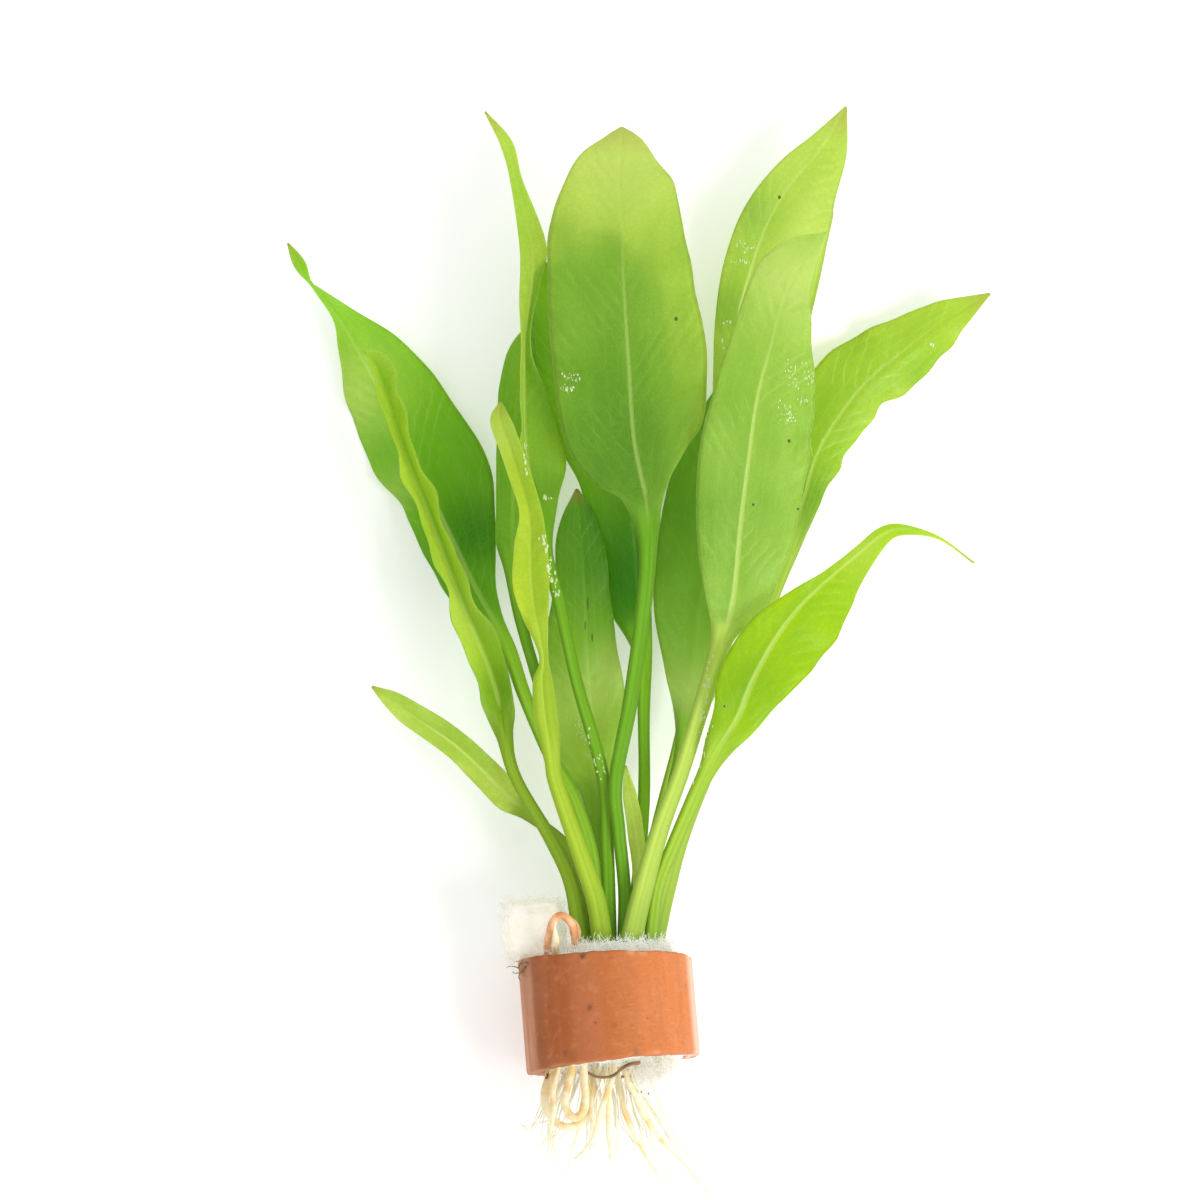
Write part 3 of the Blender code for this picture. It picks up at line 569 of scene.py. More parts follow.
def leaf_material(name, style):
    """Leaf skin: midrib, main veins, slanting cross veins, fine net, mottling and margin."""
    n = Nodes("mat_" + name)
    across, along, half, blade, tip, tone = (
        n.attribute(key) for key in ("across", "along", "half", "blade", "tip", "tone"))
    side = n.math("ABSOLUTE", across)
    share = n.math("DIVIDE", side, half)
    place = n.combine(along, across)

    broad = n.noise(n.stretched(place, (0.035, 0.09, 1)), 1.0, 3.0)
    fine = n.noise(place, 0.55, 4.0)
    wobble = n.noise(place, 0.12, 2.0)
    cloudy = n.band(fine, 0.32, 0.72)

    # The midrib narrows towards the tip.
    rib_gap = n.times(side, n.band(tip, 0.35, 0.85, 0.6, 1.15))
    midrib = n.times(line(n, rib_gap, 0.22, 0.42), n.band(tip, 0.72, 0.93, 1.0, 0.15))
    midrib = n.times(midrib, style["rib"])

    main = None
    for where in MAIN_VEINS:
        gap = n.times(n.math("ABSOLUTE", n.minus(share, where)), half)
        one = line(n, gap, 0.05, 0.30)
        main = one if main is None else n.larger(main, one)
    slant = n.minus(along, n.times(side, CROSS_SLANT))
    slant = n.plus(slant, n.times(wobble, CROSS_WOBBLE))
    slant = n.plus(slant, n.times(n.math("SIGN", across), CROSS_OFFSET))
    turn = n.math("FRACT", n.math("DIVIDE", slant, CROSS_GAP))
    cross_gap = n.times(n.math("ABSOLUTE", n.minus(turn, 0.5)), CROSS_GAP)
    seen = n.band(n.noise(place, 0.085, 2.0), 0.42, 0.62)
    cross = n.times(line(n, cross_gap, 0.03, 0.26), seen)
    quilt = n.times(n.band(cross_gap, 0.0, CROSS_GAP / 2), seen)
    net = n.band(n.cells(place, 0.75), 0.0, 0.16, 1.0, 0.0)
    veins = n.larger(n.times(main, 0.3), n.times(cross, 0.9))
    veins = n.larger(veins, n.times(net, 0.25))
    veins = n.times(n.times(veins, blade), style["veins"])

    # Painted light and shade, partly the leaf's own tone: tone patches lighten or darken it.
    lighter = n.larger(tone, 0.0)
    darker = n.larger(n.times(tone, -1.0), 0.0)
    colour = n.mix(n.band(broad, 0.32, 0.70), style["deep"], style["light"])
    colour = n.mix(lighter, colour, LIGHT_PATCH)
    colour = n.mix(darker, colour, DARK_SKIN_AND_SHADE)
    colour = n.tint(colour, quilt, 0.3, style["deep"])
    colour = n.tint(colour, cloudy, 0.35, style["light"])
    colour = n.mix(veins, colour, VEIN_TINT)
    colour = n.mix(midrib, colour, RIB_TINT)

    streak = n.band(n.noise(n.stretched(place, (0.02, 1.6, 1)), 1.0, 2.0), 0.35, 0.7)
    bright = tuple(min(1.0, 1.25 * c + 0.03) for c in style["stalk"])
    petiole = n.tint(style["stalk"], streak, 0.6, bright)
    petiole = n.tint(petiole, n.band(share, 0.35, 0.95), 0.6,
                     tuple(0.5 * c for c in style["stalk"]))
    petiole = n.mix(n.band(along, 6.0, 22.0, 0.32, 0.0), petiole, STALK_BASE)
    colour = n.mix(n.minus(1.0, blade), colour, petiole)

    rim = n.times(n.times(line(n, n.minus(half, side), 0.06, 0.25), 0.5), blade)
    colour = n.mix(rim, colour, RIM_TINT)
    # Painted shade: a stretch of the blade is darkened where other leaves lie over it.
    shade_from, shade_to, shade_amount = style["shade"]
    shade = n.times(n.times(n.ramp(tip, shade_from, shade_to), blade), shade_amount)
    colour = n.mix(shade, colour, DARK_SKIN_AND_SHADE)
    old_tip = n.band(tip, 0.955, 1.0, 0.0, style["tan"])
    colour = n.mix(old_tip, colour, OLD_TINT)
    speck = n.band(n.noise(place, 0.33, 1.0), 0.80, 0.84)
    colour = n.tint(colour, speck, 0.6, SPECK_TINT)

    relief = n.times(n.plus(quilt, n.times(net, -0.25)), blade)
    relief = n.plus(relief, n.times(fine, 0.25))
    normal = n.bump(relief, 0.30, 0.25)
    rough = n.band(n.noise(place, 0.25, 3.0), 0.3, 0.7, 0.34, 0.52)
    n.set(base_color=colour, roughness=rough, normal=normal)
    n.link(n.band(blade, 0.0, 1.0, 0.2, 0.42), n.shader.inputs["Specular IOR Level"])

    denser = tuple(c * f for c, f in zip(style["through"], (0.86, 0.93, 0.75)))
    thin = n.mix(n.band(broad, 0.30, 0.68), denser, style["through"])
    thin = n.tint(thin, quilt, 0.6, denser)
    thin = n.tint(thin, cloudy, 0.5, denser)
    thin = n.tint(thin, net, 0.4, tuple(0.85 * c for c in denser))
    # The same painted light and shade in the light that comes through.
    thin = n.mix(lighter, thin, LIGHT_THROUGH)
    thin = n.mix(n.larger(shade, darker), thin, DARK_THROUGH)
    thick = n.larger(veins, midrib)
    vein_light = tuple(0.6 * a + 0.4 * b for a, b in zip(style["through"], VEIN_THROUGH))
    thin = n.mix(n.larger(n.times(thick, 0.8), rim), thin, vein_light)
    thin = n.tint(thin, old_tip, 0.8, OLD_THROUGH)
    open_share = n.band(blade, 0.0, 1.0, STALK_THROUGH_SHARE, THROUGH_SHARE)
    open_share = n.times(open_share, n.minus(1.0, n.times(thick, 0.35)))
    n.see_through(thin, open_share, normal)
    return n.material


# ---- leaves

def blade_section(share, width, half, tip, blade):
    """Heights of the top and the bottom of a leaf over its middle surface."""
    round_edge = math.sqrt(max(0.0, 1 - abs(share) ** 8))
    disc = math.sqrt(max(0.0, 1 - share * share))
    x = abs(share) * width
    groove = GROOVE[0] * np.exp(-(x / GROOVE[1]) ** 2)
    rib = np.exp(-(x / RIB[2]) ** 2) * (RIB[0] - RIB[1] * tip)
    sheet = SHEET_HALF * round_edge
    dent = STALK_DENT[0] * math.exp(-(share / STALK_DENT[1]) ** 2)
    stalk_top = STALK_TOP * half * disc * (1 - dent)
    stalk_low = STALK_LOW * half * disc
    top = stalk_top * (1 - blade) + (sheet + (SHEET_CROWN - groove) * round_edge) * blade
    low = stalk_low * (1 - blade) + (sheet + rib * round_edge) * blade
    return np.minimum(top, TOP_LIMIT), np.minimum(low, LOW_LIMIT)


def leaf_mesh(name, rows, style, seed):
    """One leaf: a thin closed skin with midrib, waved margins and a round petiole."""
    first, second = np.array(rows[0], float), np.array(rows[1], float)
    back = first.copy()
    back[:3] -= unit(second[:3] - first[:3]) * BASE_IN_WOOL
    stations, along = evenly([tuple(back)] + list(rows), LEAF_STEP)
    centre = stations[:, :3]
    forward = unit(np.gradient(centre, axis=0))
    side = unit(np.cross(forward, (0.0, 0.0, 1.0)))
    up = np.cross(side, forward)
    tip = along / along[-1]
    widths = np.maximum(stations[:, 3:5], LEAST_HALF_WIDTH)
    rises = np.radians(stations[:, 5:7])
    half = widths.mean(1)
    petiole_width = min(PETIOLE_HALF_WIDTH, SMALL_PETIOLE_SHARE * half.max())
    blade_width = min(BLADE_HALF_WIDTH, SMALL_BLADE_SHARE * half.max())
    wide = ease((half - petiole_width) / (blade_width - petiole_width))
    blade = np.maximum.accumulate(wide)

    # Columns run from the left margin (-1) over the midrib (0) to the right margin (1).
    t = np.linspace(-1.0, 1.0, 2 * LEAF_COLUMNS + 1)
    shares = np.sign(t) * (EVEN_COLUMNS * np.abs(t) + (1 - EVEN_COLUMNS) * t * t)
    upper = np.zeros((len(along), len(shares), 3))
    lower = np.zeros_like(upper)
    columns = {key: np.zeros(upper.shape[:2]) for key in ("across", "half")}
    for j, share in enumerate(shares):
        hand = 0 if share < 0 else 1
        sign = -1.0 if share < 0 else 1.0
        width = widths[:, hand]
        reach = np.linspace(0.0, abs(share), ARC_STEPS + 1)
        middle = (reach[1:] + reach[:-1]) / 2
        bend = ease(middle / RISE_REACH)[None, :] * rises[:, hand][:, None]
        arch = math.radians(style["arch"]) * (middle - ARCH_MIDDLE)
        bend = bend - arch[None, :] * wide[:, None]
        step = abs(share) / ARC_STEPS
        out = (np.cos(bend).sum(1) * step * width)[:, None] * side * sign
        lift = (np.sin(bend).sum(1) * step * width)[:, None] * up
        last = bend[:, -1][:, None]
        normal = unit(up * np.cos(last) - side * sign * np.sin(last))
        if abs(share) < 1e-6:
            normal = up
        point = centre + out + lift

        phase = seed * 2.1 + hand * 1.7
        wave = np.sin(2 * math.pi * along / style["length"] + phase)
        wave += SHORT_WAVE_HEIGHT * np.sin(
            2 * math.pi * along / (style["length"] * SHORT_WAVE_LENGTH) + phase * 1.9)
        height = style["wave"] * abs(share) ** MARGIN_POWER * wave * wide
        swell = soft_noise(point, SWELL[1], seed)
        height += SWELL[0] * wide * swell * (0.3 + abs(share))
        pucker = soft_noise(point, PUCKER[1], seed + 5)
        height += PUCKER[0] * wide * pucker * min(1.0, 3 * abs(share))

        top, low = blade_section(share, width, half, tip, blade)
        upper[:, j] = point + normal * (height + top)[:, None]
        lower[:, j] = point + normal * (height - low)[:, None]
        columns["across"][:, j] = share * width
        columns["half"][:, j] = width
    upper[:, :, 2] = np.maximum(upper[:, :, 2], TABLE_CLEARANCE + LEAST_THICKNESS)
    lower[:, :, 2] = np.maximum(lower[:, :, 2], TABLE_CLEARANCE)

    # Tone patches: painted light and shade, partly the leaf's own tone.
    tone = np.zeros(upper.shape[:2])
    for x, y, radius, strength in TONES.get(name, ()):
        gap = np.hypot(upper[:, :, 0] - x, upper[:, :, 1] - y)
        tone += strength * np.exp(-(gap / radius) ** 2)
    columns["tone"] = np.clip(tone, -TONE_LIMIT, TONE_LIMIT)

    # Each station is a loop: over the top from left to right, and back below.
    loops = np.concatenate([upper, lower[:, -2:0:-1]], 1)
    around = loops.shape[1]
    verts = loops.reshape(-1, 3)
    faces = loop_faces(len(along), around)
    faces.append(tuple(range(around - 1, -1, -1)))
    faces.append(tuple(range(len(verts) - around, len(verts))))
    piece = add_object(name.replace("leaf_", "blade_"), verts, faces,
                       leaf_material(name, style), (name,))
    for key, grid in columns.items():
        add_attribute(piece, key, np.concatenate([grid, grid[:, -2:0:-1]], 1))
    for key, column in (("along", along), ("blade", blade), ("tip", tip)):
        add_attribute(piece, key, np.repeat(column[:, None], around, 1))
    return verts, faces


def full_row(row):
    """A leaf station with what was left out: its right half width and its rises."""
    if len(row) == 4:
        row += row[3:]
    return row + (0,) * (7 - len(row))


def make_leaves():
    """All the leaves, and a tree of their skins for finding places on them."""
    verts, faces = [], []
    for seed, (name, rows) in enumerate(LEAVES.items()):
        rows = [full_row(row) for row in rows]
        style = {**GREEN, **STYLES.get(name, {})}
        skin, skin_faces = leaf_mesh(name, rows, style, seed + 1)
        faces += shifted(skin_faces, len(verts))
        verts += [tuple(v) for v in skin]
    return BVHTree.FromPolygons(verts, faces)


# Chains of small wet drops on the leaves, painted pale as glints: from x, y to x, y,
# scatter, count, size
DROPS = (
    (-10.9, 145.2, -7.2, 144.6, 0.5, 24, 0.18), (-10.8, 142.8, -8.3, 141.6, 0.5, 22, 0.17),
    (-19.4, 130.0, -18.6, 120.4, 0.35, 16, 0.26), (-15.2, 117.8, -13.0, 116.6, 0.4, 7, 0.28),
    (-15.4, 107.5, -12.0, 93.8, 0.45, 44, 0.30), (-7.6, 66.5, -1.6, 53.4, 0.9, 46, 0.22),
    (30.4, 183.8, 33.6, 181.8, 0.6, 20, 0.18), (29.2, 180.0, 33.6, 179.0, 0.3, 20, 0.16),
    (26.9, 165.2, 29.0, 164.4, 0.4, 5, 0.26), (27.1, 160.6, 28.1, 157.8, 0.4, 6, 0.26),
    (41.4, 147.2, 42.8, 142.2, 0.7, 26, 0.16), (39.9, 138.0, 41.9, 133.6, 0.8, 38, 0.16),
    (45.0, 148.8, 46.6, 142.6, 0.7, 22, 0.16), (43.8, 139.4, 46.9, 138.2, 0.4, 14, 0.16),
    (23.4, 80.0, 20.2, 60.4, 0.45, 40, 0.24), (23.0, 64.0, 18.6, 50.4, 0.35, 22, 0.24),
    (76.8, 160.2, 77.7, 160.0, 0.1, 2, 0.34),
)
# Dark specks and short cracks on the leaves: x, y, size, stretch
SPECKS = ((15.5, 158.7, 0.40, 1.3), (41.3, 129.4, 0.34, 1.3), (33.0, 114.6, 0.28, 1.2),
          (43.3, 113.9, 0.26, 1.2), (40.7, 194.7, 0.36, 1.3), (26.2, 68.0, 0.24, 1.2),
          (-4.9, 93.5, 0.17, 9.0), (-5.5, 88.4, 0.15, 8.0), (-3.9, 85.6, 0.14, 8.0))
ABOVE_LEAVES = 70.0
BEAD_FLATNESS = 0.5


def bead(place, up, size, stretch):
    """A flattened ball on a skin, stretched along the leaf."""
    ball, faces = ball_shape(2)
    up = np.array(up)
    side = unit(np.cross((0.0, 1.0, 0.0), up))
    along = np.cross(up, side)
    verts = (ball[:, :1] * side + ball[:, 1:2] * along * stretch
             + ball[:, 2:] * up * BEAD_FLATNESS) * size
    return verts + np.array(place), faces


def make_drops(skins):
    """Wet drops on the leaves, painted pale as glints, and dark specks that lie on them."""
    # Painted highlight: the drops are pale, to stand in for the glints on the wet leaves.
    n = Nodes("mat_drop_painted_glint")
    n.set(base_color=(0.84, 0.94, 0.60), roughness=0.12)
    n.see_through((0.95, 1.0, 0.74), 0.4)
    pale_glint_drop = n.material
    n = Nodes("mat_speck")
    tone = n.noise(n.place(), 900.0, 2.0)
    n.set(base_color=n.mix(tone, (0.05, 0.07, 0.01), (0.14, 0.12, 0.03)), roughness=0.7)
    speck_skin = n.material

    rng = np.random.default_rng(21)
    beads = []
    for x0, y0, x1, y1, scatter, count, size in DROPS:
        for _ in range(count):
            t = rng.uniform(0, 1)
            x = x0 + (x1 - x0) * t + rng.normal() * scatter
            y = y0 + (y1 - y0) * t + rng.normal() * scatter
            beads.append((x, y, size * rng.uniform(0.35, 1.15), rng.uniform(1.0, 2.4)))
    down = Vector((0.0, 0.0, -1.0))
    for name, places, skin in (("drops_painted_glint", beads, pale_glint_drop),
                               ("leaf_specks", SPECKS, speck_skin)):
        verts, faces = [], []
        for x, y, size, stretch in places:
            hit, up, _, _ = skins.ray_cast(Vector((x, y, ABOVE_LEAVES)), down)
            if hit is None:
                continue
            made, made_faces = bead(hit, up, size, stretch)
            faces += shifted(made_faces, len(verts))
            verts += list(made)
        add_object(name, verts, faces, skin)


# ---- ring, wool, crown

def clay_material():
    """Terracotta: bands along the pipe, painted light, shade and side reflections, scuffs, specks,
    chips.
    """
    n = Nodes("mat_clay")
    place = n.place()
    turn, run = n.attribute("turn"), n.attribute("run")
    arc = n.times(turn, RING_RADIUS)
    bands = n.noise(n.combine(n.times(arc, 0.30), n.times(run, 0.02)), 1.0, 2.0)
    cloud = n.noise(place, 90.0, 4.0)
    mottle = n.noise(place, 420.0, 3.0)
    grain = n.noise(place, 1500.0, 3.0)
    scuff = n.noise(n.combine(n.times(arc, 0.28), n.times(run, 2.2)), 1.0, 3.0)
    wander = n.times(n.minus(cloud, 0.5), 0.08)
    edge_turn = n.plus(turn, wander)
    # Painted light and shade: the clay is darker on the left and lighter on the right, as the key
    # light falls.
    colour = n.mix(n.band(turn, -0.75, 0.85), (0.345, 0.082, 0.008), (0.61, 0.18, 0.040))
    middle = n.times(n.band(turn, -0.50, -0.36), n.band(turn, -0.16, -0.02, 1.0, 0.0))
    colour = n.tint(colour, middle, 0.3, (0.55, 0.19, 0.09))
    colour = n.tint(colour, n.band(bands, 0.35, 0.65), 0.4, (0.43, 0.125, 0.028))
    colour = n.tint(colour, n.band(mottle, 0.5, 0.75), 0.35, (0.62, 0.23, 0.08))
    colour = n.tint(colour, n.band(grain, 0.52, 0.75), 0.35, (0.26, 0.060, 0.02))
    dashes = n.times(n.band(scuff, 0.58, 0.70), n.band(turn, -0.3, 0.3, 0.06, 0.22))
    colour = n.mix(dashes, colour, (0.72, 0.34, 0.17))
    seam = line(n, n.math("ABSOLUTE", n.plus(edge_turn, 0.955)), 0.03, 0.10)
    colour = n.tint(colour, seam, 0.25, (0.20, 0.075, 0.025))
    # Painted reflections: pale bands at the left and right edges, where the white table is
    # reflected.
    painted_reflection_left = n.times(n.band(edge_turn, -1.10, -0.97, 1.0, 0.0), n.band(bands, 0.35, 0.6, 1.0, 0.45))
    colour = n.tint(colour, painted_reflection_left, 0.9, (0.56, 0.28, 0.16))
    painted_reflection_right = n.times(n.band(edge_turn, 1.10, 1.30), n.band(edge_turn, 1.5, 2.0, 0.85, 0.2))
    colour = n.mix(painted_reflection_right, colour, (0.76, 0.50, 0.36))
    worn = n.times(n.attribute("worn"), n.band(mottle, 0.35, 0.55, 0.5, 1.0))
    colour = n.mix(worn, colour, (0.78, 0.38, 0.20))
    colour = n.mix(n.attribute("dirt"), colour, (0.09, 0.035, 0.02))
    speck = n.band(n.cells(place, 300.0, "F1"), 0.06, 0.16, 1.0, 0.0)
    some = n.band(n.noise(place, 140.0, 1.0), 0.58, 0.64)
    colour = n.tint(colour, n.times(speck, some), 0.7, (0.10, 0.04, 0.02))
    relief = n.plus(n.times(mottle, 0.5), n.times(grain, 0.5))
    relief = n.plus(relief, n.times(scuff, 0.25))
    n.set(base_color=colour, roughness=n.band(cloud, 0.3, 0.7, 0.55, 0.8),
          normal=n.bump(relief, 0.30, 0.25))
    return n.material


def along_axis(x, y, z):
    """Points in the ring's own frame moved to where it lies."""
    turn = math.radians(RING_TURN)
    return np.stack([x * math.cos(turn) - y * math.sin(turn),
                     x * math.sin(turn) + y * math.cos(turn), z + AXIS_HEIGHT], -1)


# Clay ring mesh: corners round it and along it, rows over its rims, rounding of the
# rims, and how far in from the rims they are rough
RING_AROUND, RING_STEPS, RIM_ROWS = 240, 44, 7
RIM_FLAT = 0.8
RIM_CORNER = 0.55
RIM_REACH = 2.0
CORNER_LOSS = 0.10
# Roughness of the rims: height, size of a lump, and how far it is set back
RIM_GRAIN = (0.16, 1.3)
RIM_LUMPS = (0.22, 5.0)
RIM_SETBACK = 0.12
RING_CLEARANCE = 0.02
# Chips of the rims: turn, end, depth, half width, how pale
CHIPS = ((-0.26, 1, 0.9, 0.9, 0.0), (-0.60, 1, 0.35, 3.0, 0.0), (0.31, 1, 0.45, 1.2, 1.0),
         (0.44, 1, 0.60, 0.9, 1.0), (1.42, 1, 0.8, 3.2, 0.3), (0.26, -1, 1.0, 1.5, 0.2),
         (0.52, -1, 0.4, 2.2, 0.5), (-0.70, -1, 0.3, 2.5, 0.2))
# Dark marks on the outside: turn, place along the axis, radius, strength
RING_MARKS = ((-0.22, 0.0, 0.55, 0.85), (-0.24, -0.4, 0.35, 0.8), (-0.57, -9.6, 0.45, 0.9),
              (-0.75, 1.1, 0.40, 0.6), (0.04, -4.5, 0.38, 0.6), (-0.61, 11.0, 0.35, 0.6),
              (0.17, -0.7, 0.30, 0.4), (-0.26, 11.4, 0.60, 1.0), (0.26, -10.9, 0.80, 0.5),
              (1.10, 4.0, 0.40, 0.5), (0.05, 10.6, 0.50, 0.4), (-0.93, -6.0, 0.50, 0.35))


def make_ring():
    """The clay ring, with rough slanted rims and a few chips."""
    angle = np.linspace(0, 2 * math.pi, RING_AROUND, endpoint=False)
    signed = (angle + math.pi) % (2 * math.pi) - math.pi
    wall = (RING_RADIUS + BORE_RADIUS) / 2
    half_wall = (RING_RADIUS - BORE_RADIUS) / 2
    half_length = (RING_FRONT - RING_BACK) / 2
    run = np.linspace(-1, 1, RING_STEPS)
    face = np.linspace(RIM_FLAT, -RIM_FLAT, RIM_ROWS)
    profile = [(half_wall, s) for s in run] + [(half_wall * c, 1.0) for c in face]
    profile += [(-half_wall, s) for s in run[::-1]] + [(half_wall * c, -1.0) for c in face[::-1]]
    rows, worn_rows, run_rows = [], [], []
    for out, s in profile:
        near = np.clip((abs(s) * half_length - (half_length - RIM_CORNER)) / RIM_CORNER, 0, 1)
        r = wall + out * (1 - CORNER_LOSS * near ** 2)
        x, z = np.sin(angle) * r, np.cos(angle) * r
        back = RING_BACK + RING_BACK_SLANT * x
        front = RING_FRONT + RING_FRONT_SLANT * x
        y = back + (front - back) * (s + 1) / 2
        worn = np.zeros(RING_AROUND)
        reach = np.clip((abs(s) * half_length - (half_length - RIM_REACH)) / RIM_REACH, 0, 1)
        if reach > 0:
            where = np.stack([x, y, z], -1)
            rough = (soft_noise(where, RIM_GRAIN[1], 3) * RIM_GRAIN[0]
                     + soft_noise(where, RIM_LUMPS[1], 4) * RIM_LUMPS[0])
            y = y + np.sign(s) * (rough - RIM_SETBACK) * near
            for chip_turn, end, depth, width, pale in CHIPS:
                if end * s > 0:
                    gap = (signed - chip_turn) * RING_RADIUS
                    bite = np.exp(-(gap / width) ** 2) * max(0.0, out / half_wall)
                    y = y - end * depth * bite * reach
                    worn = np.maximum(worn, pale * bite * reach ** 2)
        rows.append(along_axis(x, y, z))
        worn_rows.append(worn)
        run_rows.append(y)
    grid = np.array(rows)
    grid[:, :, 2] = np.maximum(grid[:, :, 2], RING_CLEARANCE)
    faces = loop_faces(len(rows), RING_AROUND, closed=True, turned=True)
    ring = add_object("fired_clay_ring", grid.reshape(-1, 3), faces, clay_material(),
                      ("clay_ring",))
    along = np.array(run_rows)
    outside = np.array([out > 0 for out, _ in profile])[:, None]
    dirt = np.zeros_like(along)
    for mark_turn, mark_run, radius, strength in RING_MARKS:
        gap = np.hypot((signed - mark_turn)[None, :] * RING_RADIUS, along - mark_run)
        dirt = np.maximum(dirt, strength * np.exp(-(gap / radius) ** 2) * outside)
    add_attribute(ring, "turn", np.tile(signed, len(rows)))
    add_attribute(ring, "run", along)
    add_attribute(ring, "worn", np.array(worn_rows))
    add_attribute(ring, "dirt", dirt)


def wool_material():
    """Wet pale wool, creamier in the loose flap, with a few plant crumbs in it and a faint painted
    glow.
    """
    n = Nodes("mat_wool")
    place = n.place()
    matted = n.noise(place, 1100.0, 5.0, 0.7)
    tint = n.noise(place, 150.0, 3.0)
    cream = n.attribute("cream")
    colour = n.mix(n.band(tint, 0.4, 0.7), (0.95, 0.98, 0.95), (0.97, 0.96, 0.88))
    creamy = n.mix(n.band(tint, 0.35, 0.65), (0.99, 0.95, 0.84), (0.98, 0.97, 0.91))
    colour = n.mix(cream, colour, creamy)
    grey = n.times(n.band(matted, 0.38, 0.6), n.band(cream, 0.0, 1.0, 0.2, 0.06))
    colour = n.mix(grey, colour, (0.74, 0.78, 0.68))
    crumb = n.band(n.cells(place, 420.0, "F1"), 0.08, 0.20, 1.0, 0.0)
    some = n.band(n.noise(place, 210.0, 1.0), 0.60, 0.66)
    colour = n.tint(colour, n.times(crumb, some), 0.6, (0.40, 0.34, 0.16))
    n.set(base_color=colour, roughness=0.55, normal=n.bump(matted, 0.5, 0.4))
    # Painted glow: the wool gives off a faint light of its own, more in the flap, for light
    # scattered through it.
    n.set(emission_color=(1.0, 0.97, 0.88), emission_strength=n.band(cream, 0.0, 1.0, 0.12, 0.16))
    n.see_through((0.99, 0.98, 0.94), n.band(cream, 0.0, 1.0, 0.18, 0.35))
    return n.material


def crown_material():
    """Pale green-brown stem skin."""
    n = Nodes("mat_crown")
    place = n.place()
    tone = n.noise(place, 260.0, 4.0)
    colour = n.mix(n.band(tone, 0.35, 0.65), (0.40, 0.46, 0.14), (0.55, 0.44, 0.22))
    n.set(base_color=colour, roughness=0.7, normal=n.bump(tone, 0.5, 0.5))
    return n.material


def tubes(paths, radii, sides):
    """Joined closed tubes: one path of points and its radii for each."""
    verts, faces = [], []
    turn = np.linspace(0, 2 * math.pi, sides, endpoint=False)
    for path, radius in zip(paths, radii):
        path = np.asarray(path, float)
        forward = unit(np.gradient(path, axis=0))
        upright = abs(forward[:, 2]).max() >= 0.9
        guide = np.array((1.0, 0.0, 0.0) if upright else (0.0, 0.0, 1.0))
        side = unit(np.cross(forward, guide))
        up = np.cross(side, forward)
        radius = np.broadcast_to(radius, len(path))
        start = len(verts)
        for p, s, u, r in zip(path, side, up, radius):
            for a in turn:
                verts.append(p + (s * math.cos(a) + u * math.sin(a)) * r)
        faces += loop_faces(len(path), sides, start)
        faces.append(tuple(range(start + sides - 1, start - 1, -1)))
        faces.append(tuple(range(len(verts) - sides, len(verts))))
    return verts, faces


# Wool, in the ring's own frame. Discs in the ring's ends: corners round them, rings of
# corners, depth of their skirt in the ring and how much wider it is
DISC_AROUND, DISC_RINGS = 80, 16
DISC_DEPTH, DISC_PRESS = 4.0, 0.4
# Radius, place along the axis, bulge and noise seed of the two discs
FRONT_DISC = (16.2, 12.2, 2.6, 11)
BACK_DISC = (16.2, -11.0, -1.0, 17)
# Loose flap: its middle, size, roundness and noise seed
FLAP_CENTRE = (-15.6, 20.0, 0.6)
FLAP = (FLAP_CENTRE, (14.0, 14.6, 13.5), 0.6, 23)
FLAP_CUTS = 17
TUFT_CENTRE = (8.5, -13.6, 6.5)
# Loose fibres: radius, steps along one, scatter of their starts, how much they curl and
# waver at each step, shortest and longest as shares of their length, and least height
FIBRE_RADIUS = 0.06
FIBRE_STEPS = 5
FIBRE_SPREAD = 0.3
FIBRE_BEND = 0.9
FIBRE_CURL, FIBRE_WAVER = 0.28, 0.12
FIBRE_LENGTHS = (0.5, 1.3)
FIBRE_CLEARANCE = 0.3


def fibre_paths(rng, count, place, length, lift):
    """Curled fibres that start near places given by a function."""
    paths = []
    for _ in range(count):
        start = np.array(place(rng))
        heading = rng.normal(size=3)
        heading[2] = abs(heading[2]) * lift
        heading = heading / np.linalg.norm(heading)
        bend = rng.normal(size=3) * FIBRE_BEND
        points = [start + rng.normal(size=3) * FIBRE_SPREAD]
        size = length * rng.uniform(*FIBRE_LENGTHS) / FIBRE_STEPS
        for _ in range(FIBRE_STEPS):
            heading = heading + bend * FIBRE_CURL + rng.normal(size=3) * FIBRE_WAVER
            heading = heading / np.linalg.norm(heading)
            points.append(points[-1] + heading * size)
        points = np.array(points)
        points[:, 2] = np.maximum(points[:, 2], FIBRE_CLEARANCE)
        paths.append(points)
    return paths


def lumpy_disc(radius, y, bulge, seed):
    """A rough closed cushion in one end of the ring, in the ring's own frame."""
    turn = 2 * math.pi * np.arange(DISC_AROUND) / DISC_AROUND
    verts = [(0.0, y + bulge, 0.0)]
    loops = [(radius * i / DISC_RINGS, y + bulge * (1 - (i / DISC_RINGS) ** 6))
             for i in range(1, DISC_RINGS + 1)]
    loops.append((radius + DISC_PRESS, y - math.copysign(DISC_DEPTH, bulge)))
    for r, loop_y in loops:
        verts += [(math.sin(a) * r, loop_y, math.cos(a) * r) for a in turn]
    verts = np.array(verts)
    rough = soft_noise(verts, 1.7, seed) * 0.9 + soft_noise(verts, 5.0, seed + 1) * 0.9
    verts[:, 1] += rough * math.copysign(1.0, bulge)
    faces = [(0, 1 + k, 1 + (k + 1) % DISC_AROUND) for k in range(DISC_AROUND)]
    faces += loop_faces(len(loops), DISC_AROUND, start=1, turned=True)
    faces.append(tuple(range(len(verts) - 1, len(verts) - DISC_AROUND - 1, -1)))
    return along_axis(*verts.T), faces


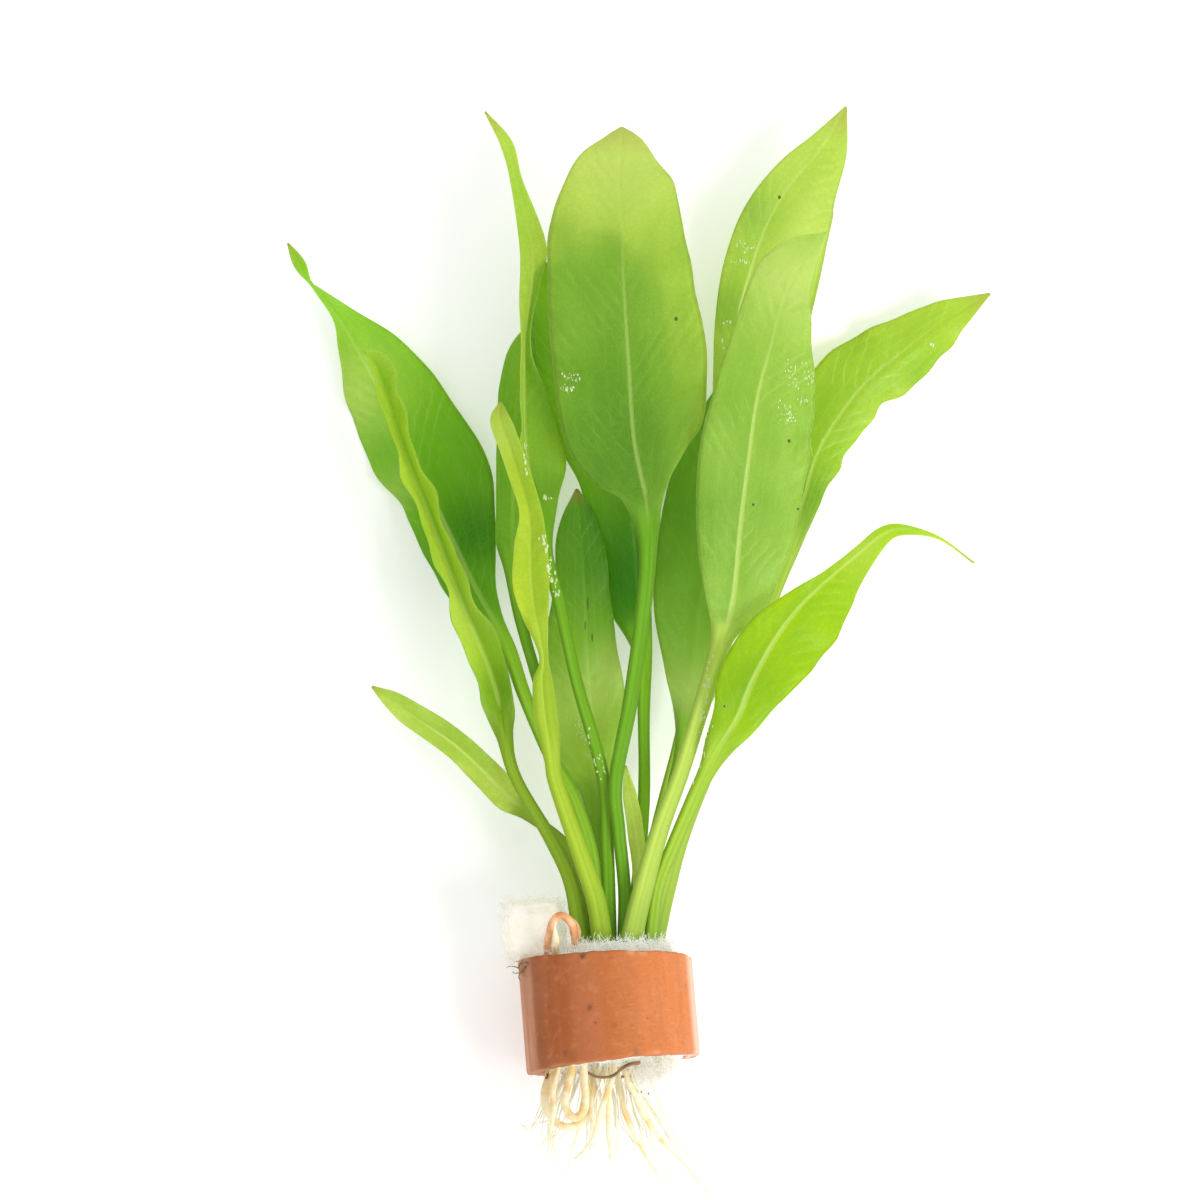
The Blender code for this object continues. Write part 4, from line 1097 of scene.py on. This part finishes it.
def soft_block(centre, size, roundness, seed):
    """A lumpy cushion, in the ring's own frame."""
    bm = bmesh.new()
    bmesh.ops.create_cube(bm, size=2.0)
    bmesh.ops.subdivide_edges(bm, edges=bm.edges, cuts=FLAP_CUTS, use_grid_fill=True)
    box, faces = shape_of(bm)
    ball = unit(box) * np.abs(box).max(1, keepdims=True)
    verts = (box * (1 - roundness) + ball * roundness) / 2
    verts = verts * np.array(size) + np.array(centre)
    lumps = soft_noise(verts, 1.6, seed) * 0.5 + soft_noise(verts, 4.5, seed + 1) * 1.1
    verts += lumps[:, None] * unit(ball)
    return along_axis(*verts.T), faces


def make_wool():
    """The matted wool in both ends of the ring and its flap, and the loose fibres."""
    wool = wool_material()
    verts, faces = lumpy_disc(*FRONT_DISC)
    back, back_faces = lumpy_disc(*BACK_DISC)
    flap, flap_faces = soft_block(*FLAP)
    faces += shifted([face[::-1] for face in back_faces], len(verts))
    faces += shifted(flap_faces, len(verts) + len(back))
    verts = np.concatenate([verts, back, flap])
    matted = add_object("matted_wool", verts, faces, wool, ("wool_plug",))
    add_attribute(matted, "cream", np.arange(len(verts)) >= len(verts) - len(flap))

    rng = np.random.default_rng(4)

    def at_front(r):
        a, d = r.uniform(0, 2 * math.pi), 16.0 * r.uniform(0, 1) ** 0.35
        return along_axis(math.sin(a) * d, 13.6 + r.uniform(-1.6, 1.4), math.cos(a) * d)

    def at_upper_rim(r):
        a, d = r.uniform(-1.1, 1.3), r.uniform(12.0, 16.6)
        return along_axis(math.sin(a) * d, 13.4 + r.uniform(-1.4, 1.4), math.cos(a) * d)

    def at_back(r):
        a, d = r.uniform(0, 2 * math.pi), 15.8 * math.sqrt(r.uniform(0, 1))
        return along_axis(math.sin(a) * d, -11.4 + r.uniform(-0.8, 0.6), math.cos(a) * d)

    def at_flap(r):
        spot = r.uniform(-1, 1, 3)
        spot = spot / np.abs(spot).max()
        return along_axis(*(np.array(FLAP_CENTRE) + spot * (6.2, 6.4, 5.8)))

    def at_tuft(r):
        spot = r.normal(size=3)
        return along_axis(*(np.array(TUFT_CENTRE) + spot * (2.6, 1.5, 2.4)))

    # Count, place, length and lift of the fibres; those at the flap and the tuft are creamier.
    paths = []
    for count, place, length, lift in ((900, at_front, 2.6, 1.0), (1100, at_upper_rim, 2.0, 0.6),
                                       (400, at_back, 2.6, 1.0)):
        paths += fibre_paths(rng, count, place, length, lift)
    white = len(paths)
    for count, place, length, lift in ((1100, at_flap, 2.2, 1.0), (1000, at_tuft, 3.4, 0.6)):
        paths += fibre_paths(rng, count, place, length, lift)
    verts, faces = tubes(paths, [FIBRE_RADIUS] * len(paths), 3)
    fibres = add_object("wool_fibres", verts, faces, wool)
    add_attribute(fibres, "cream", np.arange(len(verts)) >= len(verts) * white / len(paths))


# ---- roots

ROOTS = {
    "root_outer_loop": (1.0, (
        (-12.6, -9.5, 21.5), (-13.2, -13.3, 22), (-14.4, -17.8, 23), (-14.6, -21.4, 24),
        (-12.7, -24.8, 25), (-9.8, -26.5, 26), (-7.1, -25.8, 26), (-4.9, -23.1, 25.8),
        (-4.6, -19.6, 25.2), (-5.3, -16.2, 24.2), (-5.8, -9.5, 23))),
    "root_inner_loop": (0.95, (
        (-7.6, -9.5, 26), (-8.4, -13.3, 27), (-9.3, -16.8, 28), (-10, -20.4, 29),
        (-9.3, -23.4, 29.4), (-7.5, -24.6, 29.4), (-5.8, -22.8, 29.2), (-5.4, -19.4, 28.8),
        (-5.7, -16, 28.2), (-5.9, -9.5, 26.5))),
    "root_left_edge": (0.7, (
        (-11, -9.5, 26), (-11.6, -13.3, 27), (-12.2, -15.8, 28), (-12.8, -19.2, 28.8),
        (-12.5, -22.7, 29), (-13.2, -26.7, 27.4), (-14, -30.1, 21))),
    "root_centre_left": (0.8, (
        (-2.4, -9.5, 23), (-2.8, -12.9, 23), (-3.5, -16, 22.8), (-4.2, -20.1, 22.2),
        (-3.9, -24.1, 21.4), (-3, -28, 19))),
    "root_centre": (0.75, (
        (-0.7, -9.5, 22.5), (-0.7, -12.9, 23), (-0.5, -16.3, 24), (-0.1, -20.7, 24.5),
        (-0.2, -25.7, 22), (0.2, -33, 16))),
    "root_centre_cross": (0.7, (
        (1.4, -9.5, 26), (1.2, -12.7, 27), (0.9, -15.1, 28.4), (-0.5, -19.2, 30),
        (-2, -23.3, 30), (-3.4, -28.2, 26.5), (-5.6, -31.1, 21), (-8, -33.2, 15))),
    "root_right_long": (0.7, (
        (3.4, -9.5, 26), (3.6, -12.6, 27), (4, -15.6, 28.2), (5.8, -19.2, 27),
        (9.9, -26.7, 21), (17.1, -34, 12), (23.7, -41.1, 4))),
    "root_right_middle": (0.6, (
        (1.6, -9.5, 21), (1.8, -12.6, 21), (2.2, -16.6, 21.5), (3.8, -23.4, 19),
        (7.3, -30.4, 13), (12, -37.5, 6))),
    "root_orange_loop": (0.9, (
        (-13.6, 11.5, 28.2), (-14, 13.9, 29.8), (-13.9, 15.4, 32), (-13.4, 17.5, 33.5),
        (-12.7, 19.3, 34.5), (-11.6, 20.5, 35), (-10.2, 20.5, 35), (-8.9, 19.4, 34.4),
        (-8.2, 17.8, 33.6), (-7.6, 14, 31))),
    "root_orange_short": (0.8, (
        (-7.3, 13.5, 29.2), (-7.2, 16.3, 30.2), (-7, 17.6, 30.8), (-7.4, 19.2, 31.2),
        (-8.2, 20.2, 31.3))),
    "root_cream": (0.8, (
        (-12.1, 11.5, 31.5), (-12.1, 13.9, 33.4), (-12, 15.5, 35), (-12.3, 17.6, 36.5),
        (-12, 19.2, 37.2))),
}


# A dead dark root, dirt hairs on the rim, and crumbs
OLD_ROOT = ((-6.5, -12.6, 24.5), (-4.6, -14.3, 26), (-2.1, -15.3, 27.5), (0.8, -15.1, 29.5),
            (2.6, -13.8, 31.6), (4.4, -12.8, 33.0), (7, -12.4, 33.2))
RIM_HAIRS = (
    ((-19.6, 8.5, 27.0), (-20.8, 9.6, 26), (-22.4, 10.1, 24.5), (-23.4, 9.9, 23.5)),
    ((-19.0, 9.7, 28.2), (-20.2, 8.6, 27), (-21.4, 8.4, 25.5), (-22.2, 8.9, 24.5)),
    ((-18.2, 10.3, 29.6), (-19.6, 9.5, 28.2), (-20.6, 7.6, 26.8), (-20.2, 6.5, 27.2)),
    ((-19.8, 10.9, 26.6), (-20.6, 9.9, 25.8), (-20.0, 8.3, 26.8), (-19.4, 7.7, 28.2)),
    ((-17.4, 11.1, 30.2), (-19.0, 10.6, 28.8), (-20.6, 11.0, 26), (-21.8, 11.2, 24.6)),
)
CRUMBS = ((4.9, -18.7, 26), (5.4, -18.2, 26), (7.9, -18.2, 25.5), (7.2, -18.6, 25.5),
          (9.0, -18.8, 24.5), (-13.9, -14.6, 24.4), (-14.2, -15.2, 24.2), (-18.9, 10.2, 27.8),
          (-18.2, 9.6, 28.6), (3.0, -15.4, 31.0))


# Thin roots: three knots of each bundle, how many roots it has, and their radii
THIN_ROOTS = (
    ((-11, -11, 20), (-16, -24, 16), (-19, -28, 9)),
    ((-7, -11, 18), (-11, -24, 12), (-14.5, -34, 4)), ((-4, -11, 20), (-5, -26, 14), (-9, -37, 2)),
    ((0, -11, 24), (1, -26, 14), (0.5, -37, 3)), ((3, -11, 24), (8, -26, 16), (15, -39, 2)),
    ((5, -11, 22), (11, -24, 14), (21, -37, 2)), ((4, -11, 28), (6, -18, 26), (11, -26, 17)),
    ((2, -11, 20), (6, -27, 10), (12, -40, 1.5)), ((-2, -11, 26), (-3, -24, 18), (-1, -33, 8)),
    ((-9, -11, 22), (-12, -22, 20), (-15, -31, 8)),
)
THIN_ROOTS_PER_PLACE = 6
THIN_RADII = (0.16, 0.42)
# Scatter of the first, second and third knot, and waviness: height, length
THIN_SCATTER = ((1.2,), (1.3,), (1.9,))
THIN_WAVES = (0.5, 6.0)
THIN_STEP = 1.0
# Thick roots: step, corners round them, unevenness (share of the radius, length), and
# where an open end starts to taper and how much it loses
THICK_STEP, THICK_SIDES = 0.7, 12
THICK_LUMPS = (0.16, 3.0)
TAPER_FROM, TAPER = 0.35, 0.75
ROOT_CLEARANCE = 0.4
HAIR_RADIUS = 0.19
CRUMB_SIZE = 0.42


def root_material(name, deep, light, share):
    """Pale root skin, a little see-through."""
    n = Nodes(name)
    place = n.place()
    tone = n.noise(place, 230.0, 4.0)
    fine = n.noise(place, 1300.0, 2.0)
    colour = n.mix(n.band(tone, 0.35, 0.55), deep, light)
    colour = n.tint(colour, n.band(fine, 0.5, 0.7), 0.4, deep)
    n.set(base_color=colour, roughness=0.42, normal=n.bump(fine, 0.3, 0.2))
    n.see_through(light, share)
    return n.material


def bits(rng, places, size):
    """Small rough crumbs, joined."""
    verts, faces = [], []
    ball, ball_faces = ball_shape(1)
    for place in places:
        shape = ball * rng.uniform(0.5, 1.2, 3) * size * rng.uniform(0.6, 1.2)
        shape += rng.normal(size=shape.shape) * size * 0.15
        faces += shifted(ball_faces, len(verts))
        verts += list(shape + np.array(place))
    return verts, faces


def make_roots():
    """Thick roots, one piece each, the thin ones joined, and the dirt caught among them."""
    cream = root_material("mat_root", (0.86, 0.63, 0.27), (0.98, 0.92, 0.68), 0.28)
    orange = root_material("mat_root_orange", (0.74, 0.30, 0.11), (0.97, 0.61, 0.33), 0.22)
    pale = root_material("mat_root_thin", (0.95, 0.88, 0.66), (0.98, 0.96, 0.86), 0.35)
    dark = root_material("mat_root_dark", (0.09, 0.045, 0.02), (0.32, 0.17, 0.06), 0.0)
    for seed, (name, (radius, points)) in enumerate(ROOTS.items()):
        path, along = evenly(points, THICK_STEP)
        share = along / along[-1]
        width = radius * (1 + THICK_LUMPS[0] * soft_noise(path, THICK_LUMPS[1], seed + 40))
        if "loop" not in name:
            width = width * (1 - TAPER * ease((share - TAPER_FROM) / (1 - TAPER_FROM)))
        verts, faces = tubes([path], [width], THICK_SIDES)
        is_orange = "orange" in name
        add_object(name.replace("root_", "thick_root_"), verts, faces,
                   orange if is_orange else cream, (name,))

    rng = np.random.default_rng(9)
    paths, radii = [], []
    for line_knots in THIN_ROOTS:
        for _ in range(THIN_ROOTS_PER_PLACE):
            shift = rng.normal(size=(3, 3)) * np.array(THIN_SCATTER)
            knots = np.array(line_knots, float) + shift
            knots[:, 2] = np.maximum(knots[:, 2], 0.6)
            path, along = evenly(knots, THIN_STEP)
            waves = [soft_noise(path + k, THIN_WAVES[1], 60 + k) for k in range(3)]
            path = path + np.stack(waves, 1) * THIN_WAVES[0]
            path[:, 2] = np.maximum(path[:, 2], ROOT_CLEARANCE)
            paths.append(path)
            radii.append(rng.uniform(*THIN_RADII) * (1 - 0.7 * along / along[-1]))
    verts, faces = tubes(paths, radii, 6)
    add_object("thin_roots", verts, faces, pale)

    strand, along = evenly(OLD_ROOT, 0.5)
    hairs = [strand]
    widths = [0.26 + 0.16 * along / along[-1] + 0.08 * soft_noise(strand, 0.9, 71)]
    for knots in RIM_HAIRS:
        hair, along = evenly(knots, 0.4)
        hairs.append(hair)
        widths.append(HAIR_RADIUS * (1 - 0.6 * along / along[-1]))
    verts, faces = tubes(hairs, widths, 6)
    crumb_verts, crumb_faces = bits(rng, CRUMBS, CRUMB_SIZE)
    faces += shifted(crumb_faces, len(verts))
    add_object("old_root_and_dirt", verts + crumb_verts, faces, dark)


# ---- stage

def make_stage():
    """Pale floor, soft light and camera."""
    bpy.ops.mesh.primitive_plane_add(size=2 * FLOOR_HALF_M)
    floor = bpy.context.object
    floor.name = "floor"
    n = Nodes("mat_floor")
    tone = n.noise(n.place(), 3.0, 2.0)
    n.set(base_color=n.mix(tone, (0.90, 0.90, 0.90), (0.92, 0.92, 0.92)), roughness=0.7,
          emission_color=(1.0, 1.0, 1.0), emission_strength=FLOOR_GLOW)
    floor.data.materials.append(n.material)

    world = bpy.data.worlds.new("studio")
    world.use_nodes = True
    world.node_tree.nodes["Background"].inputs["Color"].default_value = (1.0, 1.0, 1.0, 1.0)
    world.node_tree.nodes["Background"].inputs["Strength"].default_value = WORLD_STRENGTH
    bpy.context.scene.world = world

    lamp = bpy.data.lights.new("key", "AREA")
    lamp.shape = "DISK"
    lamp.size = KEY_SIZE_M
    lamp.energy = KEY_WATTS
    key = bpy.data.objects.new("key", lamp)
    key.location = Vector(KEY_PLACE) * MM
    aim = Vector(KEY_TARGET) - Vector(KEY_PLACE)
    key.rotation_euler = aim.to_track_quat("-Z", "Y").to_euler()
    scene_collection().objects.link(key)

    lens = bpy.data.cameras.new("camera")
    lens.lens = LENS_MM
    lens.sensor_width = SENSOR_MM
    lens.clip_start = NEAREST_M
    camera = bpy.data.objects.new("camera", lens)
    camera.location = Vector(EYE) * MM
    look = Vector(TARGET) - Vector(EYE)
    camera.rotation_euler = look.to_track_quat("-Z", "Y").to_euler()
    scene_collection().objects.link(camera)
    bpy.context.scene.camera = camera
    bpy.context.scene.view_settings.view_transform = "Standard"


def finish_crown():
    """The crown keeps its solid shape and gets a better skin."""
    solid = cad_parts["crown"]
    solid.data.materials.clear()
    solid.data.materials.append(crown_material())


leaf_skins = make_leaves()
make_drops(leaf_skins)
make_ring()
make_wool()
make_roots()
finish_crown()
make_stage()
